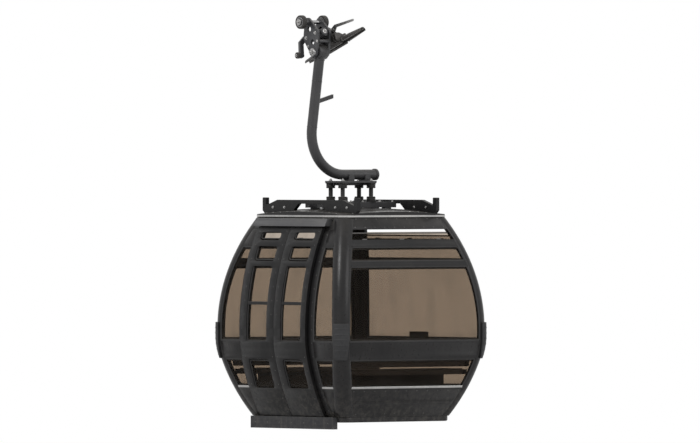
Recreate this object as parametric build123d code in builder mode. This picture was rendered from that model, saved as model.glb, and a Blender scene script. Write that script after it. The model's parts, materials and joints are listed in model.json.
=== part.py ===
# Detachable cabin of a one-rope gondola lift: rope grip, hanger and cabin.
# Millimetres. +Z is up, +X points uphill, +Y to the inboard side, the doors are on the -Y side.
# The origin is the centre of the rope between the jaws.
from build123d import *
from math import asin, cos, degrees, radians, sin
import os

os.makedirs("parts", exist_ok=True)

# Rope
rope_r = 26
rope_slope = 21

# Cabin: place and cross-section, heights above the underside of the floor
cabin_y = 210
roof_edge_z = -1739
belt_half = 1002
belt_low = 876
belt_high = 950
bilge_r = 900
bilge_turn = 13
skirt_r = 2318
skirt_low = 54
roof_edge = 2091
roof_in = 298.5
roof_half = belt_half - roof_in
barrel_r = ((roof_edge - belt_high) ** 2 + roof_in**2) / (2 * roof_in)
floor_z = roof_edge_z - roof_edge
corner_r = 110
post_inset = 120

# Thickness and inset of the walls' pieces
wall_t = 45
pane_inset = 8
pane_t = 8
skirt_t = 30
vent_inset = 22
vent_t = 6
vent_slots = {"front": 26, "rear": 26, "inboard": 60}

# Heights of the bands in every wall; the upper ones hang from the roof's edge
floor_top = 100
skirt_top = 344
sill_low = 640
sill_top = 822
header_h = 128
vent_h = 103
bar_h = 70
upper_pane_h = 150
transom_h = 50
header_low = roof_edge - header_h
bar_top = header_low - vent_h
bar_low = bar_top - bar_h
transom_top = bar_low - upper_pane_h
transom_low = transom_top - transom_h

# Floor pan and roof
plinth_back = 5
plinth_edge_r = 18
roof_lip = 10
roof_rise = 85
dome_r = 7700
roof_bead_places = (-540, -400, -260, 260, 400, 540)
roof_bead_w = 34
roof_bead_h = 6
roof_bead_half = 470

# Beads pressed into the lower panels
panel_bead_low = 184
panel_bead_w = 26
panel_bead_h = 5
panel_bead_side = 45

# Corner guards, on the round of each corner
guard_t = 20
guard_w = 102
guard_low = 640
guard_high = 1010

# Doorway and leaves, along the wall from its middle
doorway_side = 542
jamb_w = 113
leaf_overlap = 40
leaf_rise = 22
leaf_gap = 3
leaf_back = 8
leaf_t = 35
leaf_stile = 79
leaf_pane_start = 110
leaf_pane_r = 30
leaf_pane_back = 20
leaf_vent_drop = 8
leaf_vent_h = 80
leaf_vent_slot = 60
leaf_low = 60
leaf_top = header_low + leaf_rise
doorway_half = belt_half - doorway_side
jamb_end = doorway_half + jamb_w
leaf_end = doorway_half + leaf_overlap
leaf_pane_end = leaf_end - leaf_stile
leaf_vent_low = bar_top - leaf_vent_drop
leaf_vent_top = leaf_vent_low + leaf_vent_h

# Door track with its ledge, and what runs in it
track_overhang = 100
track_drop = 16
track_h = 80
track_half = doorway_half + track_overhang
track_top = roof_edge - track_drop
track_low = track_top - track_h
track_out = 76
track_t = 8
track_slot = 40
carrier_starts = (20, 100)
carrier_w = 40
carrier_out = 22
carrier_t = 9
carrier_rise = 50
carrier_top = track_low + carrier_rise
track_wheel_r = 15
track_wheel_w = 14
track_wheel_out = 47
track_stub_r = 6
ledge_gap = 0.3

# Door sill with the lower guide channel
sill_overhang = 71
sill_half = jamb_end + sill_overhang
sill_depth = 69
channel_out = 25
channel_w = 26
channel_wall = 24
shoe_start = 40
shoe_end = 180
shoe_t = 12
shoe_grip = 10
shoe_low = -30

# Benches and the box on the inboard sill
seat_back = 10
seat_side = 202
seat_top = 530
seat_t = 50
seat_edge_r = 18
riser_t = 20
riser_back = 40
backrest_side = 190
backrest_h = 252
backrest_drop = 10
backrest_t = 30
seat_front = doorway_half + seat_back
seat_half_w = belt_half - seat_side
backrest_half_w = belt_half - backrest_side
backrest_top = sill_top - backrest_drop
backrest_low = backrest_top - backrest_h
box_half_w = 110
box_depth = 85
box_low = 745
box_top = 905
box_edge_r = 30

# Roof rails and the bearing frame between them
rail_out = 41.5
rail_in = 172.5
rail_w = 45
rail_h = 171
rail_slant = 176
rail_notch_h = 114
ear_w = 54
ear_h = 194
rail_foot_in = 70
rail_foot_h = 62
rail_arch_half = 250
rail_arch_rise = 60
rail_arch_slant = 70
rail_arch_h = 131
rail_edge_r = 9
rail_half = roof_half + rail_out
rail_spread = roof_half - rail_in
rail_notch = rail_half - ear_w
rail_top = roof_edge + rail_h
rail_arch_top = roof_edge + rail_arch_h
ear_top = roof_edge + ear_h
beam_x = 94
beam_w = 60
beam_h = 58
beam_clear = 91
beam_low = roof_edge + beam_clear
beam_top = beam_low + beam_h
beam_tie_w = 50
beam_foot_y = 400
beam_foot_w = 80

# Dampers between the bearing frame and the hanger head
damper_y = 191
damper_r = 22
damper_pad_r = 42
damper_pad_h = 55
damper_flange_r = 52
damper_flange_h = 10

# Hanger
hanger_y = -205
pivot_z = -60
arm_r = 52
arm_wall = 8
arm_lean = 8
arm_length = 780
arm_bend_r = 420
arm_end_y = 520
arm_cap_r = 60
arm_cap_t = 25
eye_r = 75
eye_half = 57
pin_r = 30
pin_head_r = 42
pin_head_t = 18
head_half_x = 135
head_low_y = -40
head_high_y = 460
head_t = 20
head_drop = 12
head_corner_r = 30
head_rib_x = 22
head_rib_t = 12
head_rib_h = 26
head_rib_in = 35
saddle_w = 70
saddle_half_x = 62
spur_down = 520
spur_reach = 240
spur_rise = 45
spur_h = 40
spur_w = 30

# Grip, in the rope's own directions: along the rope and square to it
jaw_length = 320
closing_length = 300
jaw_split = 1
jaw_crown = 72
jaw_lip = -24
jaw_lip_y = 36
jaw_mouth_y = 24
jaw_mouth = -9
jaw_back = -112
jaw_back_low = 20
jaw_top = 92
jaw_top_y = -48
jaw_heel_y = -52
notch_starts = (86, 124, -112, -150)
notch_w = 26
notch_depth = 32
shaft_y = -80
shaft_rise = 150
shaft_r = 18
lug_r = 32
lug_start = 34
lug_end = 64
lug_foot = 80
link_half = 30
cheek_t = 25
cheek_gap = 8
cheek_eye_r = 50
cheek_top_r = 45
cheek_side = 75
cheek_side_rise = 120
cheek_side_r = 45
cheek_hole_rises = (47, 188)
cheek_hole_r = 27
cheek_tie_rise = 30
cheek_tie_r = 16
foot_h = 92
wheel_rise = 265
wheel_r = 70
wheel_w = 50
wheel_edge_r = 8
wheel_hub_r = 50
wheel_rim_r = 41
wheel_boss_r = 29
wheel_web_t = 16
wheel_inner_y = -85
wheel_outer_y = -375
axle_r = 20
axle_cap_r = 32
axle_cap_t = 12
axle_cap_gap = 3
spacer_r = 32
run_gap = 0.05
barrel_spring_r = 38
barrel_spring_half = 125
barrel_ring_r = 43
barrel_ring_w = 9
barrel_ring_gap = 18
barrel_end_t = 20
barrel_end_h = 70
lever_start = -170
lever_t = 30
lever_half_w = 34
lever_root_r = 36
lever_knees = ((-250, 172), (-330, 110))
lever_knees_under = ((-290, 76), (-235, 122))
lever_end_y = -345
lever_end_rise = -40
lever_end_half = 26
lever_end_r = 28
shaft_end = 8
roller_r = 33
roller_w = 30
roller_gap = 3
roller_edge_r = 4
roller_axle_r = 12
roller_axle_end = 6
guide_reach = 470
guide_mid = 270
guide_collar_r = 58
guide_collar_w = 16
guide_root_r = 52
guide_mid_r = 48
guide_tip_r = 32
guide_gap = 2
guide_turn = -10
guide_arc = 200
horn_y = -55
horn_t = 12

cabin_origin = (0, cabin_y, floor_z)
walls = {
    "front": Plane(origin=cabin_origin, x_dir=(1, 0, 0), z_dir=(0, -1, 0)),
    "rear": Plane(origin=cabin_origin, x_dir=(-1, 0, 0), z_dir=(0, 1, 0)),
    "inboard": Plane(origin=cabin_origin, x_dir=(0, 1, 0), z_dir=(1, 0, 0)),
    "door": Plane(origin=cabin_origin, x_dir=(0, -1, 0), z_dir=(-1, 0, 0)),
}
crossing = {"front": "inboard", "rear": "inboard", "inboard": "front", "door": "front"}
floor_plane = Plane(origin=cabin_origin)

slope_cos = cos(radians(rope_slope))
slope_sin = sin(radians(rope_slope))
along = (slope_cos, 0, slope_sin)
grip_side = Plane(origin=(0, 0, 0), x_dir=along, z_dir=(0, -1, 0))
rope_cross = Plane(origin=(0, 0, 0), x_dir=(0, 1, 0), z_dir=along)
rope_axis = Axis((0, 0, 0), along)

# The pivot's place in the grip's own directions
pivot_along = pivot_z * slope_sin
pivot_rise = pivot_z * slope_cos

# Centres of the arcs that make the cabin's cross-section
bilge_centre = (belt_half - bilge_r, belt_low)
skirt_centre = (
    bilge_centre[0] + (bilge_r - skirt_r) * cos(radians(bilge_turn)),
    bilge_centre[1] - (bilge_r - skirt_r) * sin(radians(bilge_turn)),
)
barrel_centre = (belt_half - barrel_r, belt_high)


def wall_half(height, inset=0):
    """Half width of the cabin at a height on the barrel arc or on the skirt arc."""
    centre = barrel_centre if height > belt_high else skirt_centre
    radius = (barrel_r if height > belt_high else skirt_r) - inset
    return centre[0] + radius * cos(asin((height - centre[1]) / radius))


floor_half = wall_half(skirt_low)


def cabin_outline(inset):
    """The cabin's cross-section, moved in by inset."""
    belt = belt_half - inset
    skirt_turn = degrees(asin((skirt_centre[1] - skirt_low) / (skirt_r - inset)))
    barrel_turn = degrees(asin((roof_edge - belt_high) / (barrel_r - inset)))
    with BuildSketch() as outline:
        with BuildLine():
            Line((0, skirt_low), (wall_half(skirt_low, inset), skirt_low))
            CenterArc(skirt_centre, skirt_r - inset, -skirt_turn, skirt_turn - bilge_turn)
            CenterArc(bilge_centre, bilge_r - inset, -bilge_turn, bilge_turn)
            Line((belt, belt_low), (belt, belt_high))
            CenterArc(barrel_centre, barrel_r - inset, 0, barrel_turn)
            Line((wall_half(roof_edge, inset), roof_edge), (0, roof_edge))
            mirror(about=Plane.YZ)
        make_face()
    return outline.sketch


def cabin_body(inset):
    """The whole cabin as one solid with rounded corners, moved in by inset."""
    with BuildPart() as body:
        with BuildSketch(walls["front"]):
            add(cabin_outline(inset))
        extrude(amount=2 * belt_half, both=True)
        with BuildSketch(walls["inboard"]):
            add(cabin_outline(inset))
        extrude(amount=2 * belt_half, both=True, mode=Mode.INTERSECT)
        corners = body.edges().filter_by(
            lambda edge: abs(abs((edge @ 0.5).X) - abs((edge @ 0.5).Y - cabin_y)) < 1
        )
        fillet(corners, corner_r - inset)
    return body.part


def wall_piece(wall, outer, inner, low, high, start=None, end=None):
    """A curved piece of one wall between two insets and two heights.
    It runs from start to end across the wall, or from post to post."""
    to_posts = start is None
    first = -belt_half if to_posts else start
    last = belt_half if to_posts else end
    with BuildPart() as piece:
        with BuildSketch(walls[wall].offset(first)):
            add(cabin_outline(outer))
            add(cabin_outline(inner), mode=Mode.SUBTRACT)
            with Locations((belt_half, (low + high) / 2)):
                Rectangle(2 * belt_half - 100, high - low, mode=Mode.INTERSECT)
        extrude(amount=last - first)
        if to_posts:
            with BuildSketch(walls[crossing[wall]]):
                add(cabin_outline(post_inset))
            extrude(amount=2 * belt_half, both=True, mode=Mode.INTERSECT)
    return piece.part


def beside_door(outer, inner, low, high):
    """The two pieces of the door wall between its jambs and the corner posts."""
    whole = wall_piece("door", outer, inner, low, high)
    with BuildPart() as pieces:
        add(whole)
        with BuildSketch(floor_plane):
            Rectangle(2 * jamb_end, 4 * belt_half)
        extrude(amount=roof_edge, mode=Mode.SUBTRACT)
    return pieces.part


# Floor: a shallow rounded pan under the walls and the floor plate between them
inner_body = cabin_body(wall_t)
with BuildPart() as floor_pan:
    add(inner_body)
    with BuildSketch(floor_plane.offset(skirt_low)):
        Rectangle(4 * belt_half, 4 * belt_half)
    extrude(amount=floor_top - skirt_low, mode=Mode.INTERSECT)
    with BuildSketch(floor_plane):
        RectangleRounded(2 * (floor_half - plinth_back), 2 * (floor_half - plinth_back), corner_r)
    extrude(amount=skirt_low)
    fillet(floor_pan.edges().group_by(Axis.Z)[0], plinth_edge_r)
floor_pan.part.label = "floor_pan"
export_step(floor_pan.part, "parts/floor_pan.step")

# Roof: a shallow dome that stands over the walls by a narrow lip, with beads across it
dome_centre = floor_plane.from_local_coords((0, 0, roof_edge + roof_rise - dome_r))
with BuildPart() as roof_beads:
    with BuildSketch(floor_plane.offset(roof_edge)):
        for place in roof_bead_places:
            with Locations((place, 0)):
                SlotOverall(2 * roof_bead_half, roof_bead_w, rotation=90)
    extrude(amount=2 * roof_rise)
    with Locations(dome_centre):
        Sphere(dome_r + roof_bead_h, mode=Mode.INTERSECT)
with BuildPart() as roof_shell:
    with BuildSketch(floor_plane.offset(roof_edge)):
        RectangleRounded(2 * (roof_half + roof_lip), 2 * (roof_half + roof_lip), corner_r)
    extrude(amount=roof_rise)
    with Locations(dome_centre):
        Sphere(dome_r, mode=Mode.INTERSECT)
    add(roof_beads.part)
roof_shell.part.label = "roof_shell"
export_step(roof_shell.part, "parts/roof_shell.step")

# Corner posts, which follow the walls' curve from the floor pan to the roof
outer_body = cabin_body(0)
post_ends = {
    "corner_post_front_inboard": (1, 1),
    "corner_post_front_door": (1, -1),
    "corner_post_rear_inboard": (-1, 1),
    "corner_post_rear_door": (-1, -1),
}
for node, (side_x, side_y) in post_ends.items():
    with BuildPart() as corner_post:
        add(outer_body)
        add(inner_body, mode=Mode.SUBTRACT)
        for wall in ("front", "inboard"):
            with BuildSketch(walls[wall]):
                add(cabin_outline(post_inset))
            extrude(amount=2 * belt_half, both=True, mode=Mode.SUBTRACT)
        with BuildSketch(floor_plane):
            with Locations((side_x * belt_half, side_y * belt_half)):
                Rectangle(2 * belt_half, 2 * belt_half)
        extrude(amount=roof_edge, mode=Mode.INTERSECT)
        if side_y < 0:
            with BuildSketch(floor_plane):
                Rectangle(2 * jamb_end, 4 * belt_half)
            extrude(amount=header_low, mode=Mode.SUBTRACT)
    corner_post.part.label = node
    export_step(corner_post.part, f"parts/{node}.step")

# Guards on the round of the corners at belt height
guard_body = cabin_body(-guard_t)
with BuildPart() as corner_guards:
    add(guard_body)
    add(outer_body, mode=Mode.SUBTRACT)
    with BuildSketch(floor_plane.offset(guard_low)):
        for side_x in (-1, 1):
            for side_y in (-1, 1):
                with Locations((side_x * (2 * belt_half - guard_w), side_y * (2 * belt_half - guard_w))):
                    Rectangle(2 * belt_half, 2 * belt_half)
    extrude(amount=guard_high - guard_low, mode=Mode.INTERSECT)
corner_guards.part.label = "corner_guards"
export_step(corner_guards.part, "parts/corner_guards.step")

# Header rails under the roof, all round
headers = [wall_piece(wall, 0, wall_t, header_low, roof_edge) for wall in walls]
with BuildPart() as header_rails:
    add(headers)
header_rails.part.label = "header_rails"
export_step(header_rails.part, "parts/header_rails.step")

# Sill rails, with the transoms and bars above them, in the three closed walls
closed_walls = ("front", "rear", "inboard")
sills = [wall_piece(wall, 0, wall_t, sill_low, sill_top) for wall in closed_walls]
door_side_sills = beside_door(0, wall_t, sill_low, sill_top)
with BuildPart() as sill_rails:
    add(sills)
    add(door_side_sills)
sill_rails.part.label = "sill_rails"
export_step(sill_rails.part, "parts/sill_rails.step")

bars = [wall_piece(wall, 0, wall_t, bar_low, bar_top) for wall in closed_walls]
transoms = [wall_piece(wall, 0, wall_t, transom_low, transom_top) for wall in closed_walls]
with BuildPart() as window_bars:
    add(bars)
    add(transoms)
window_bars.part.label = "window_bars"
export_step(window_bars.part, "parts/window_bars.step")

# Panes: main, upper and lower, one node for each closed wall
pane_bands = {
    "main": (sill_top, transom_low),
    "upper": (transom_top, bar_low),
    "lower": (skirt_top, sill_low),
}
for wall in closed_walls:
    panes = [
        wall_piece(wall, pane_inset, pane_inset + pane_t, low, high)
        for low, high in pane_bands.values()
    ]
    with BuildPart() as window:
        add(panes)
    window.part.label = f"window_{wall}"
    export_step(window.part, f"parts/window_{wall}.step")

# Panes beside the doors, from the sill to the bar, and below the sill
side_panes = [
    beside_door(pane_inset, pane_inset + pane_t, sill_top, bar_low),
    beside_door(pane_inset, pane_inset + pane_t, skirt_top, sill_low),
]
with BuildPart() as window_door_side:
    add(side_panes)
window_door_side.part.label = "window_door_side"
export_step(window_door_side.part, "parts/window_door_side.step")

# Vent flaps, which leave a slot under the header
flaps = [
    wall_piece(wall, vent_inset, vent_inset + vent_t, bar_top, header_low - vent_slots[wall])
    for wall in closed_walls
]
with BuildPart() as vent_flaps:
    add(flaps)
vent_flaps.part.label = "vent_flaps"
export_step(vent_flaps.part, "parts/vent_flaps.step")

# Lower panels of the closed walls, and the short ones beside the doors with what closes the top
panel_bead_half = wall_half(panel_bead_low) - post_inset - panel_bead_side
for wall in closed_walls:
    skirt = wall_piece(wall, 0, skirt_t, skirt_low, skirt_top)
    bead = wall_piece(
        wall,
        -panel_bead_h,
        panel_bead_h,
        panel_bead_low,
        panel_bead_low + panel_bead_w,
        -panel_bead_half,
        panel_bead_half,
    )
    with BuildPart() as lower_panel:
        add(skirt)
        add(bead)
    lower_panel.part.label = f"lower_panel_{wall}"
    export_step(lower_panel.part, f"parts/lower_panel_{wall}.step")

door_panels = [
    beside_door(0, skirt_t, skirt_low, skirt_top),
    beside_door(0, wall_t, bar_low, header_low),
]
with BuildPart() as panels_door_side:
    add(door_panels)
panels_door_side.part.label = "panels_door_side"
export_step(panels_door_side.part, "parts/panels_door_side.step")

# Jambs of the doorway
jambs = [
    wall_piece("door", 0, wall_t, skirt_low, header_low, -jamb_end, -doorway_half),
    wall_piece("door", 0, wall_t, skirt_low, header_low, doorway_half, jamb_end),
]
with BuildPart() as door_jambs:
    add(jambs)
door_jambs.part.label = "door_jambs"
export_step(door_jambs.part, "parts/door_jambs.step")

# Door sill: a box with an open channel along the wall's foot, and the threshold in the doorway
channel_y = -(floor_half + channel_out)
threshold = wall_piece("door", 0, wall_t, skirt_low, floor_top, -doorway_half, doorway_half)
with BuildPart() as door_sill:
    with BuildSketch(floor_plane.offset(-sill_depth)):
        box_out = -channel_y + channel_w / 2 + channel_wall
        box_in = floor_half - plinth_back
        with Locations((0, -(box_out + box_in) / 2)):
            Rectangle(2 * sill_half, box_out - box_in)
    extrude(amount=sill_depth + skirt_low)
    with BuildSketch(floor_plane.offset(skirt_low)):
        with Locations((0, channel_y)):
            Rectangle(2 * (sill_half - channel_wall), channel_w)
    extrude(amount=-(sill_depth + skirt_low - channel_wall), mode=Mode.SUBTRACT)
    add(threshold)
door_sill.part.label = "door_sill"
export_step(door_sill.part, "parts/door_sill.step")

# Door track under the roof's edge: a channel open at the bottom, with a ledge for the wheels
track_hull = wall_piece("door", -track_out, 0, track_low, track_top, -track_half, track_half)
cavity_half = track_half - track_t
track_cavity = wall_piece(
    "door", track_t - track_out, 0, track_low + track_t, track_top - track_t, -cavity_half, cavity_half
)
track_mouth = wall_piece(
    "door", -track_slot, 0, track_low - track_t, track_low + 2 * track_t, -cavity_half, cavity_half
)
with BuildPart() as door_track:
    add(track_hull)
    add(track_cavity, mode=Mode.SUBTRACT)
    add(track_mouth, mode=Mode.SUBTRACT)
door_track.part.label = "door_track"
export_step(door_track.part, "parts/door_track.step")

# Door leaves: curved frames with their carriers, wheels and guide shoe
leaf_bands = {
    "main": (sill_top, transom_low),
    "upper": (transom_top, bar_low),
    "vent": (leaf_vent_low, leaf_vent_top),
    "lower": (skirt_top, sill_low),
}
leaf_pane_mid = (leaf_pane_start + leaf_pane_end) / 2
leaf_pane_w = leaf_pane_end - leaf_pane_start
wheel_h = track_low + track_t + ledge_gap + track_wheel_r
wheel_in = wall_half(wheel_h) + track_wheel_out

for side, node in ((1, "door_front"), (-1, "door_rear")):
    # Across the door wall, positive is towards -X
    leaf_span = sorted((-side * leaf_gap, -side * leaf_end))
    sheet = wall_piece("door", -leaf_back - leaf_t, -leaf_back, leaf_low, leaf_top, *leaf_span)
    carriers = [
        wall_piece(
            "door",
            -carrier_out - carrier_t,
            -carrier_out,
            leaf_top,
            carrier_top,
            *sorted((-side * first, -side * (first + carrier_w))),
        )
        for first in carrier_starts
    ]
    with BuildPart() as leaf:
        add(sheet)
        with BuildSketch(walls["front"]):
            for low, high in leaf_bands.values():
                with Locations((side * leaf_pane_mid, (low + high) / 2)):
                    RectangleRounded(leaf_pane_w, high - low, leaf_pane_r)
        extrude(amount=2 * belt_half, mode=Mode.SUBTRACT)
        add(carriers)
        for first in carrier_starts:
            wheel_x = side * (first + carrier_w / 2)
            with BuildSketch(walls["front"].offset(wheel_in)):
                with Locations((wheel_x, wheel_h)):
                    Circle(track_wheel_r)
            extrude(amount=track_wheel_w)
            with BuildSketch(walls["front"].offset(wheel_in - track_wheel_out + carrier_out + carrier_t)):
                with Locations((wheel_x, wheel_h)):
                    Circle(track_stub_r)
            extrude(amount=track_wheel_out - carrier_out)
        with BuildSketch(floor_plane.offset(shoe_low)):
            with Locations((side * (shoe_start + shoe_end) / 2, channel_y)):
                Rectangle(shoe_end - shoe_start, shoe_t)
        extrude(amount=leaf_low + shoe_grip - shoe_low)
    leaf.part.label = node
    export_step(leaf.part, f"parts/{node}.step")

    pane_sheet = wall_piece(
        "door", -leaf_pane_back - pane_t, -leaf_pane_back, leaf_low, leaf_top, *leaf_span
    )
    with BuildPart() as leaf_glass:
        add(pane_sheet)
        with BuildSketch(walls["front"]):
            for low, high in leaf_bands.values():
                with Locations((side * leaf_pane_mid, (low + high) / 2)):
                    RectangleRounded(leaf_pane_w, high - low, leaf_pane_r)
            with Locations((side * leaf_pane_mid, leaf_vent_top)):
                Rectangle(2 * leaf_pane_w, 2 * leaf_vent_slot, mode=Mode.SUBTRACT)
        extrude(amount=2 * belt_half, mode=Mode.INTERSECT)
    leaf_glass.part.label = f"{node}_glass"
    export_step(leaf_glass.part, f"parts/{node}_glass.step")

# Benches at the two ends: a seat that follows the wall, a riser below it and a low back
for side, end in ((1, "front"), (-1, "rear")):
    with BuildPart() as bench:
        add(inner_body)
        with BuildSketch(floor_plane.offset(floor_top)):
            with Locations((side * (seat_front + belt_half), 0)):
                Rectangle(2 * belt_half, 2 * seat_half_w)
        extrude(amount=seat_top - floor_top, mode=Mode.INTERSECT)
        with BuildSketch(floor_plane.offset(floor_top)):
            with Locations((side * (seat_front + belt_half + riser_back + riser_t), 0)):
                Rectangle(2 * belt_half, 4 * belt_half)
        extrude(amount=seat_top - floor_top - seat_t, mode=Mode.SUBTRACT)
        with BuildSketch(floor_plane.offset(floor_top)):
            with Locations((side * (seat_front + riser_back / 2), 0)):
                Rectangle(riser_back, 4 * belt_half)
        extrude(amount=seat_top - floor_top - seat_t, mode=Mode.SUBTRACT)
        fillet(bench.faces().sort_by(Axis.X)[-1 if side < 0 else 0].edges().filter_by(Axis.Y), seat_edge_r)
    bench.part.label = f"bench_{end}"
    export_step(bench.part, f"parts/bench_{end}.step")

    back = wall_piece(
        end, wall_t, wall_t + backrest_t, backrest_low, backrest_top, -backrest_half_w, backrest_half_w
    )
    with BuildPart() as backrest:
        add(back)
    backrest.part.label = f"backrest_{end}"
    export_step(backrest.part, f"parts/backrest_{end}.step")

# Small box on the inboard sill
box_hull = wall_piece(
    "inboard", wall_t, wall_t + box_depth, box_low, box_top, -box_half_w, box_half_w
)
with BuildPart() as sill_box:
    add(box_hull)
    fillet(sill_box.faces().sort_by(Axis.Y)[0].edges(), box_edge_r)
sill_box.part.label = "sill_box"
export_step(sill_box.part, "parts/sill_box.step")

# Roof rails: blades with a flat top, an open arch in the middle and an ear at each end
rail_profile = [
    (rail_notch - rail_slant, rail_top),
    (rail_notch, roof_edge + rail_notch_h),
    (rail_notch, ear_top),
    (rail_half, ear_top),
    (rail_half, roof_edge + rail_foot_h),
    (rail_half - rail_foot_in, roof_edge),
    (rail_arch_half, roof_edge),
    (rail_arch_half, rail_arch_top - rail_arch_rise),
    (rail_arch_half - rail_arch_slant, rail_arch_top),
]
rail_mirrored = [(-x, height) for x, height in reversed(rail_profile)]
for side, node in ((-1, "roof_rail_door"), (1, "roof_rail_inboard")):
    rail_plane = walls["front"].offset(-side * rail_spread - rail_w / 2)
    with BuildPart() as roof_rail:
        with BuildSketch(rail_plane) as rail_side:
            with BuildLine():
                Polyline(*rail_profile, *rail_mirrored, close=True)
            make_face()
            fillet(rail_side.vertices(), rail_edge_r)
        extrude(amount=rail_w)
        with Locations(dome_centre):
            Sphere(dome_r, mode=Mode.SUBTRACT)
    roof_rail.part.label = node
    export_step(roof_rail.part, f"parts/{node}.step")

# Bearing frame on the roof: two beams across, two ties and four feet on the dome
with BuildPart() as roof_frame:
    beam_length = 2 * rail_spread - rail_w
    with BuildSketch(floor_plane.offset(beam_low)):
        for side in (-1, 1):
            with Locations((side * beam_x, 0)):
                Rectangle(beam_w, beam_length)
            with Locations((0, side * damper_y)):
                Rectangle(2 * beam_x, beam_tie_w)
    extrude(amount=beam_top - beam_low)
    with BuildSketch(floor_plane.offset(roof_edge)):
        with GridLocations(2 * beam_x, 2 * beam_foot_y, 2, 2):
            Rectangle(beam_w, beam_foot_w)
    extrude(amount=beam_low - roof_edge)
    with Locations(dome_centre):
        Sphere(dome_r, mode=Mode.SUBTRACT)
roof_frame.part.label = "roof_frame"
export_step(roof_frame.part, "parts/roof_frame.step")

# Hanger path: a leaning straight run, one bend and a level run, in the plane across the rope
lean_y = -sin(radians(arm_lean))
lean_z = -cos(radians(arm_lean))
bend_start = (hanger_y + arm_length * lean_y, pivot_z + arm_length * lean_z)
bend_centre = (bend_start[0] - arm_bend_r * lean_z, bend_start[1] + arm_bend_r * lean_y)
level_z = bend_centre[1] - arm_bend_r
half_turn = radians((90 + arm_lean) / 2)
bend_mid = (
    bend_centre[0] - arm_bend_r * sin(half_turn),
    bend_centre[1] - arm_bend_r * cos(half_turn),
)
hanger_plane = Plane(origin=(0, 0, 0), x_dir=(0, 1, 0), z_dir=(1, 0, 0))
hollow_start = (hanger_y + 1.5 * eye_r * lean_y, pivot_z + 1.5 * eye_r * lean_z)
run_start = Plane(origin=(0, hanger_y, pivot_z), x_dir=(1, 0, 0), z_dir=(0, lean_y, lean_z))

with BuildPart() as hanger_arm:
    with BuildLine(hanger_plane):
        Line((hanger_y, pivot_z), bend_start)
        ThreePointArc(bend_start, bend_mid, (bend_centre[0], level_z))
        Line((bend_centre[0], level_z), (arm_end_y, level_z))
    with BuildSketch(run_start):
        Circle(arm_r)
    sweep()
    with BuildLine(hanger_plane):
        Line(hollow_start, bend_start)
        ThreePointArc(bend_start, bend_mid, (bend_centre[0], level_z))
        Line((bend_centre[0], level_z), (arm_end_y, level_z))
    with BuildSketch(Plane(origin=(0, *hollow_start), x_dir=(1, 0, 0), z_dir=(0, lean_y, lean_z))):
        Circle(arm_r - arm_wall)
    sweep(mode=Mode.SUBTRACT)
    with BuildSketch(Plane(origin=(0, hanger_y + eye_half, 0), x_dir=(1, 0, 0), z_dir=(0, -1, 0))):
        with Locations((0, pivot_z)):
            Circle(eye_r)
    extrude(amount=2 * eye_half)
    with BuildSketch(Plane(origin=(0, hanger_y + 2 * eye_half, 0), x_dir=(1, 0, 0), z_dir=(0, -1, 0))):
        with Locations((0, pivot_z)):
            Circle(pin_r + run_gap)
    extrude(amount=4 * eye_half, mode=Mode.SUBTRACT)
    with BuildSketch(Plane(origin=(0, arm_end_y, 0), x_dir=(1, 0, 0), z_dir=(0, -1, 0))):
        with Locations((0, level_z)):
            Circle(arm_cap_r)
    extrude(amount=-arm_cap_t)
hanger_arm.part.label = "hanger_arm"
export_step(hanger_arm.part, "parts/hanger_arm.step")

# Spur on the arm's inner side
spur_y = hanger_y + spur_down * lean_y
spur_z = pivot_z + spur_down * lean_z
with BuildPart() as arm_spur:
    with BuildSketch(hanger_plane.offset(-spur_w / 2)):
        with BuildLine():
            Polyline(
                (spur_y, spur_z - spur_h / 2),
                (spur_y + spur_reach, spur_z + spur_rise),
                (spur_y + spur_reach, spur_z + spur_rise + spur_h),
                (spur_y, spur_z + spur_h / 2),
                close=True,
            )
        make_face()
    extrude(amount=spur_w)
    with BuildSketch(run_start):
        Circle(arm_r)
    extrude(amount=arm_length, mode=Mode.SUBTRACT)
arm_spur.part.label = "arm_spur"
export_step(arm_spur.part, "parts/arm_spur.step")

# Hanger head: a plate under the level run, with two saddles that carry it and two ribs below
head_top_z = level_z - arm_r - head_drop
with BuildPart() as hanger_head:
    with BuildSketch(Plane.XY.offset(head_top_z)):
        with Locations((0, (head_low_y + head_high_y) / 2)):
            RectangleRounded(2 * head_half_x, head_high_y - head_low_y, head_corner_r)
    extrude(amount=-head_t)
    with BuildSketch(Plane.XY.offset(head_top_z)):
        for middle in (bend_centre[0] + saddle_w, head_high_y - saddle_w):
            with Locations((0, middle)):
                Rectangle(2 * saddle_half_x, saddle_w)
    extrude(amount=level_z - head_top_z)
    with BuildSketch(Plane.XY.offset(head_top_z - head_t)):
        for side in (-1, 1):
            with Locations((side * head_rib_x, (head_low_y + head_high_y) / 2)):
                Rectangle(head_rib_t, head_high_y - head_low_y - 2 * head_rib_in)
    extrude(amount=-head_rib_h)
    with BuildSketch(Plane(origin=(0, 2 * head_high_y, level_z), x_dir=(1, 0, 0), z_dir=(0, -1, 0))):
        Circle(arm_r)
    extrude(amount=2 * head_high_y - bend_centre[0], mode=Mode.SUBTRACT)
hanger_head.part.label = "hanger_head"
export_step(hanger_head.part, "parts/hanger_head.step")

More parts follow.
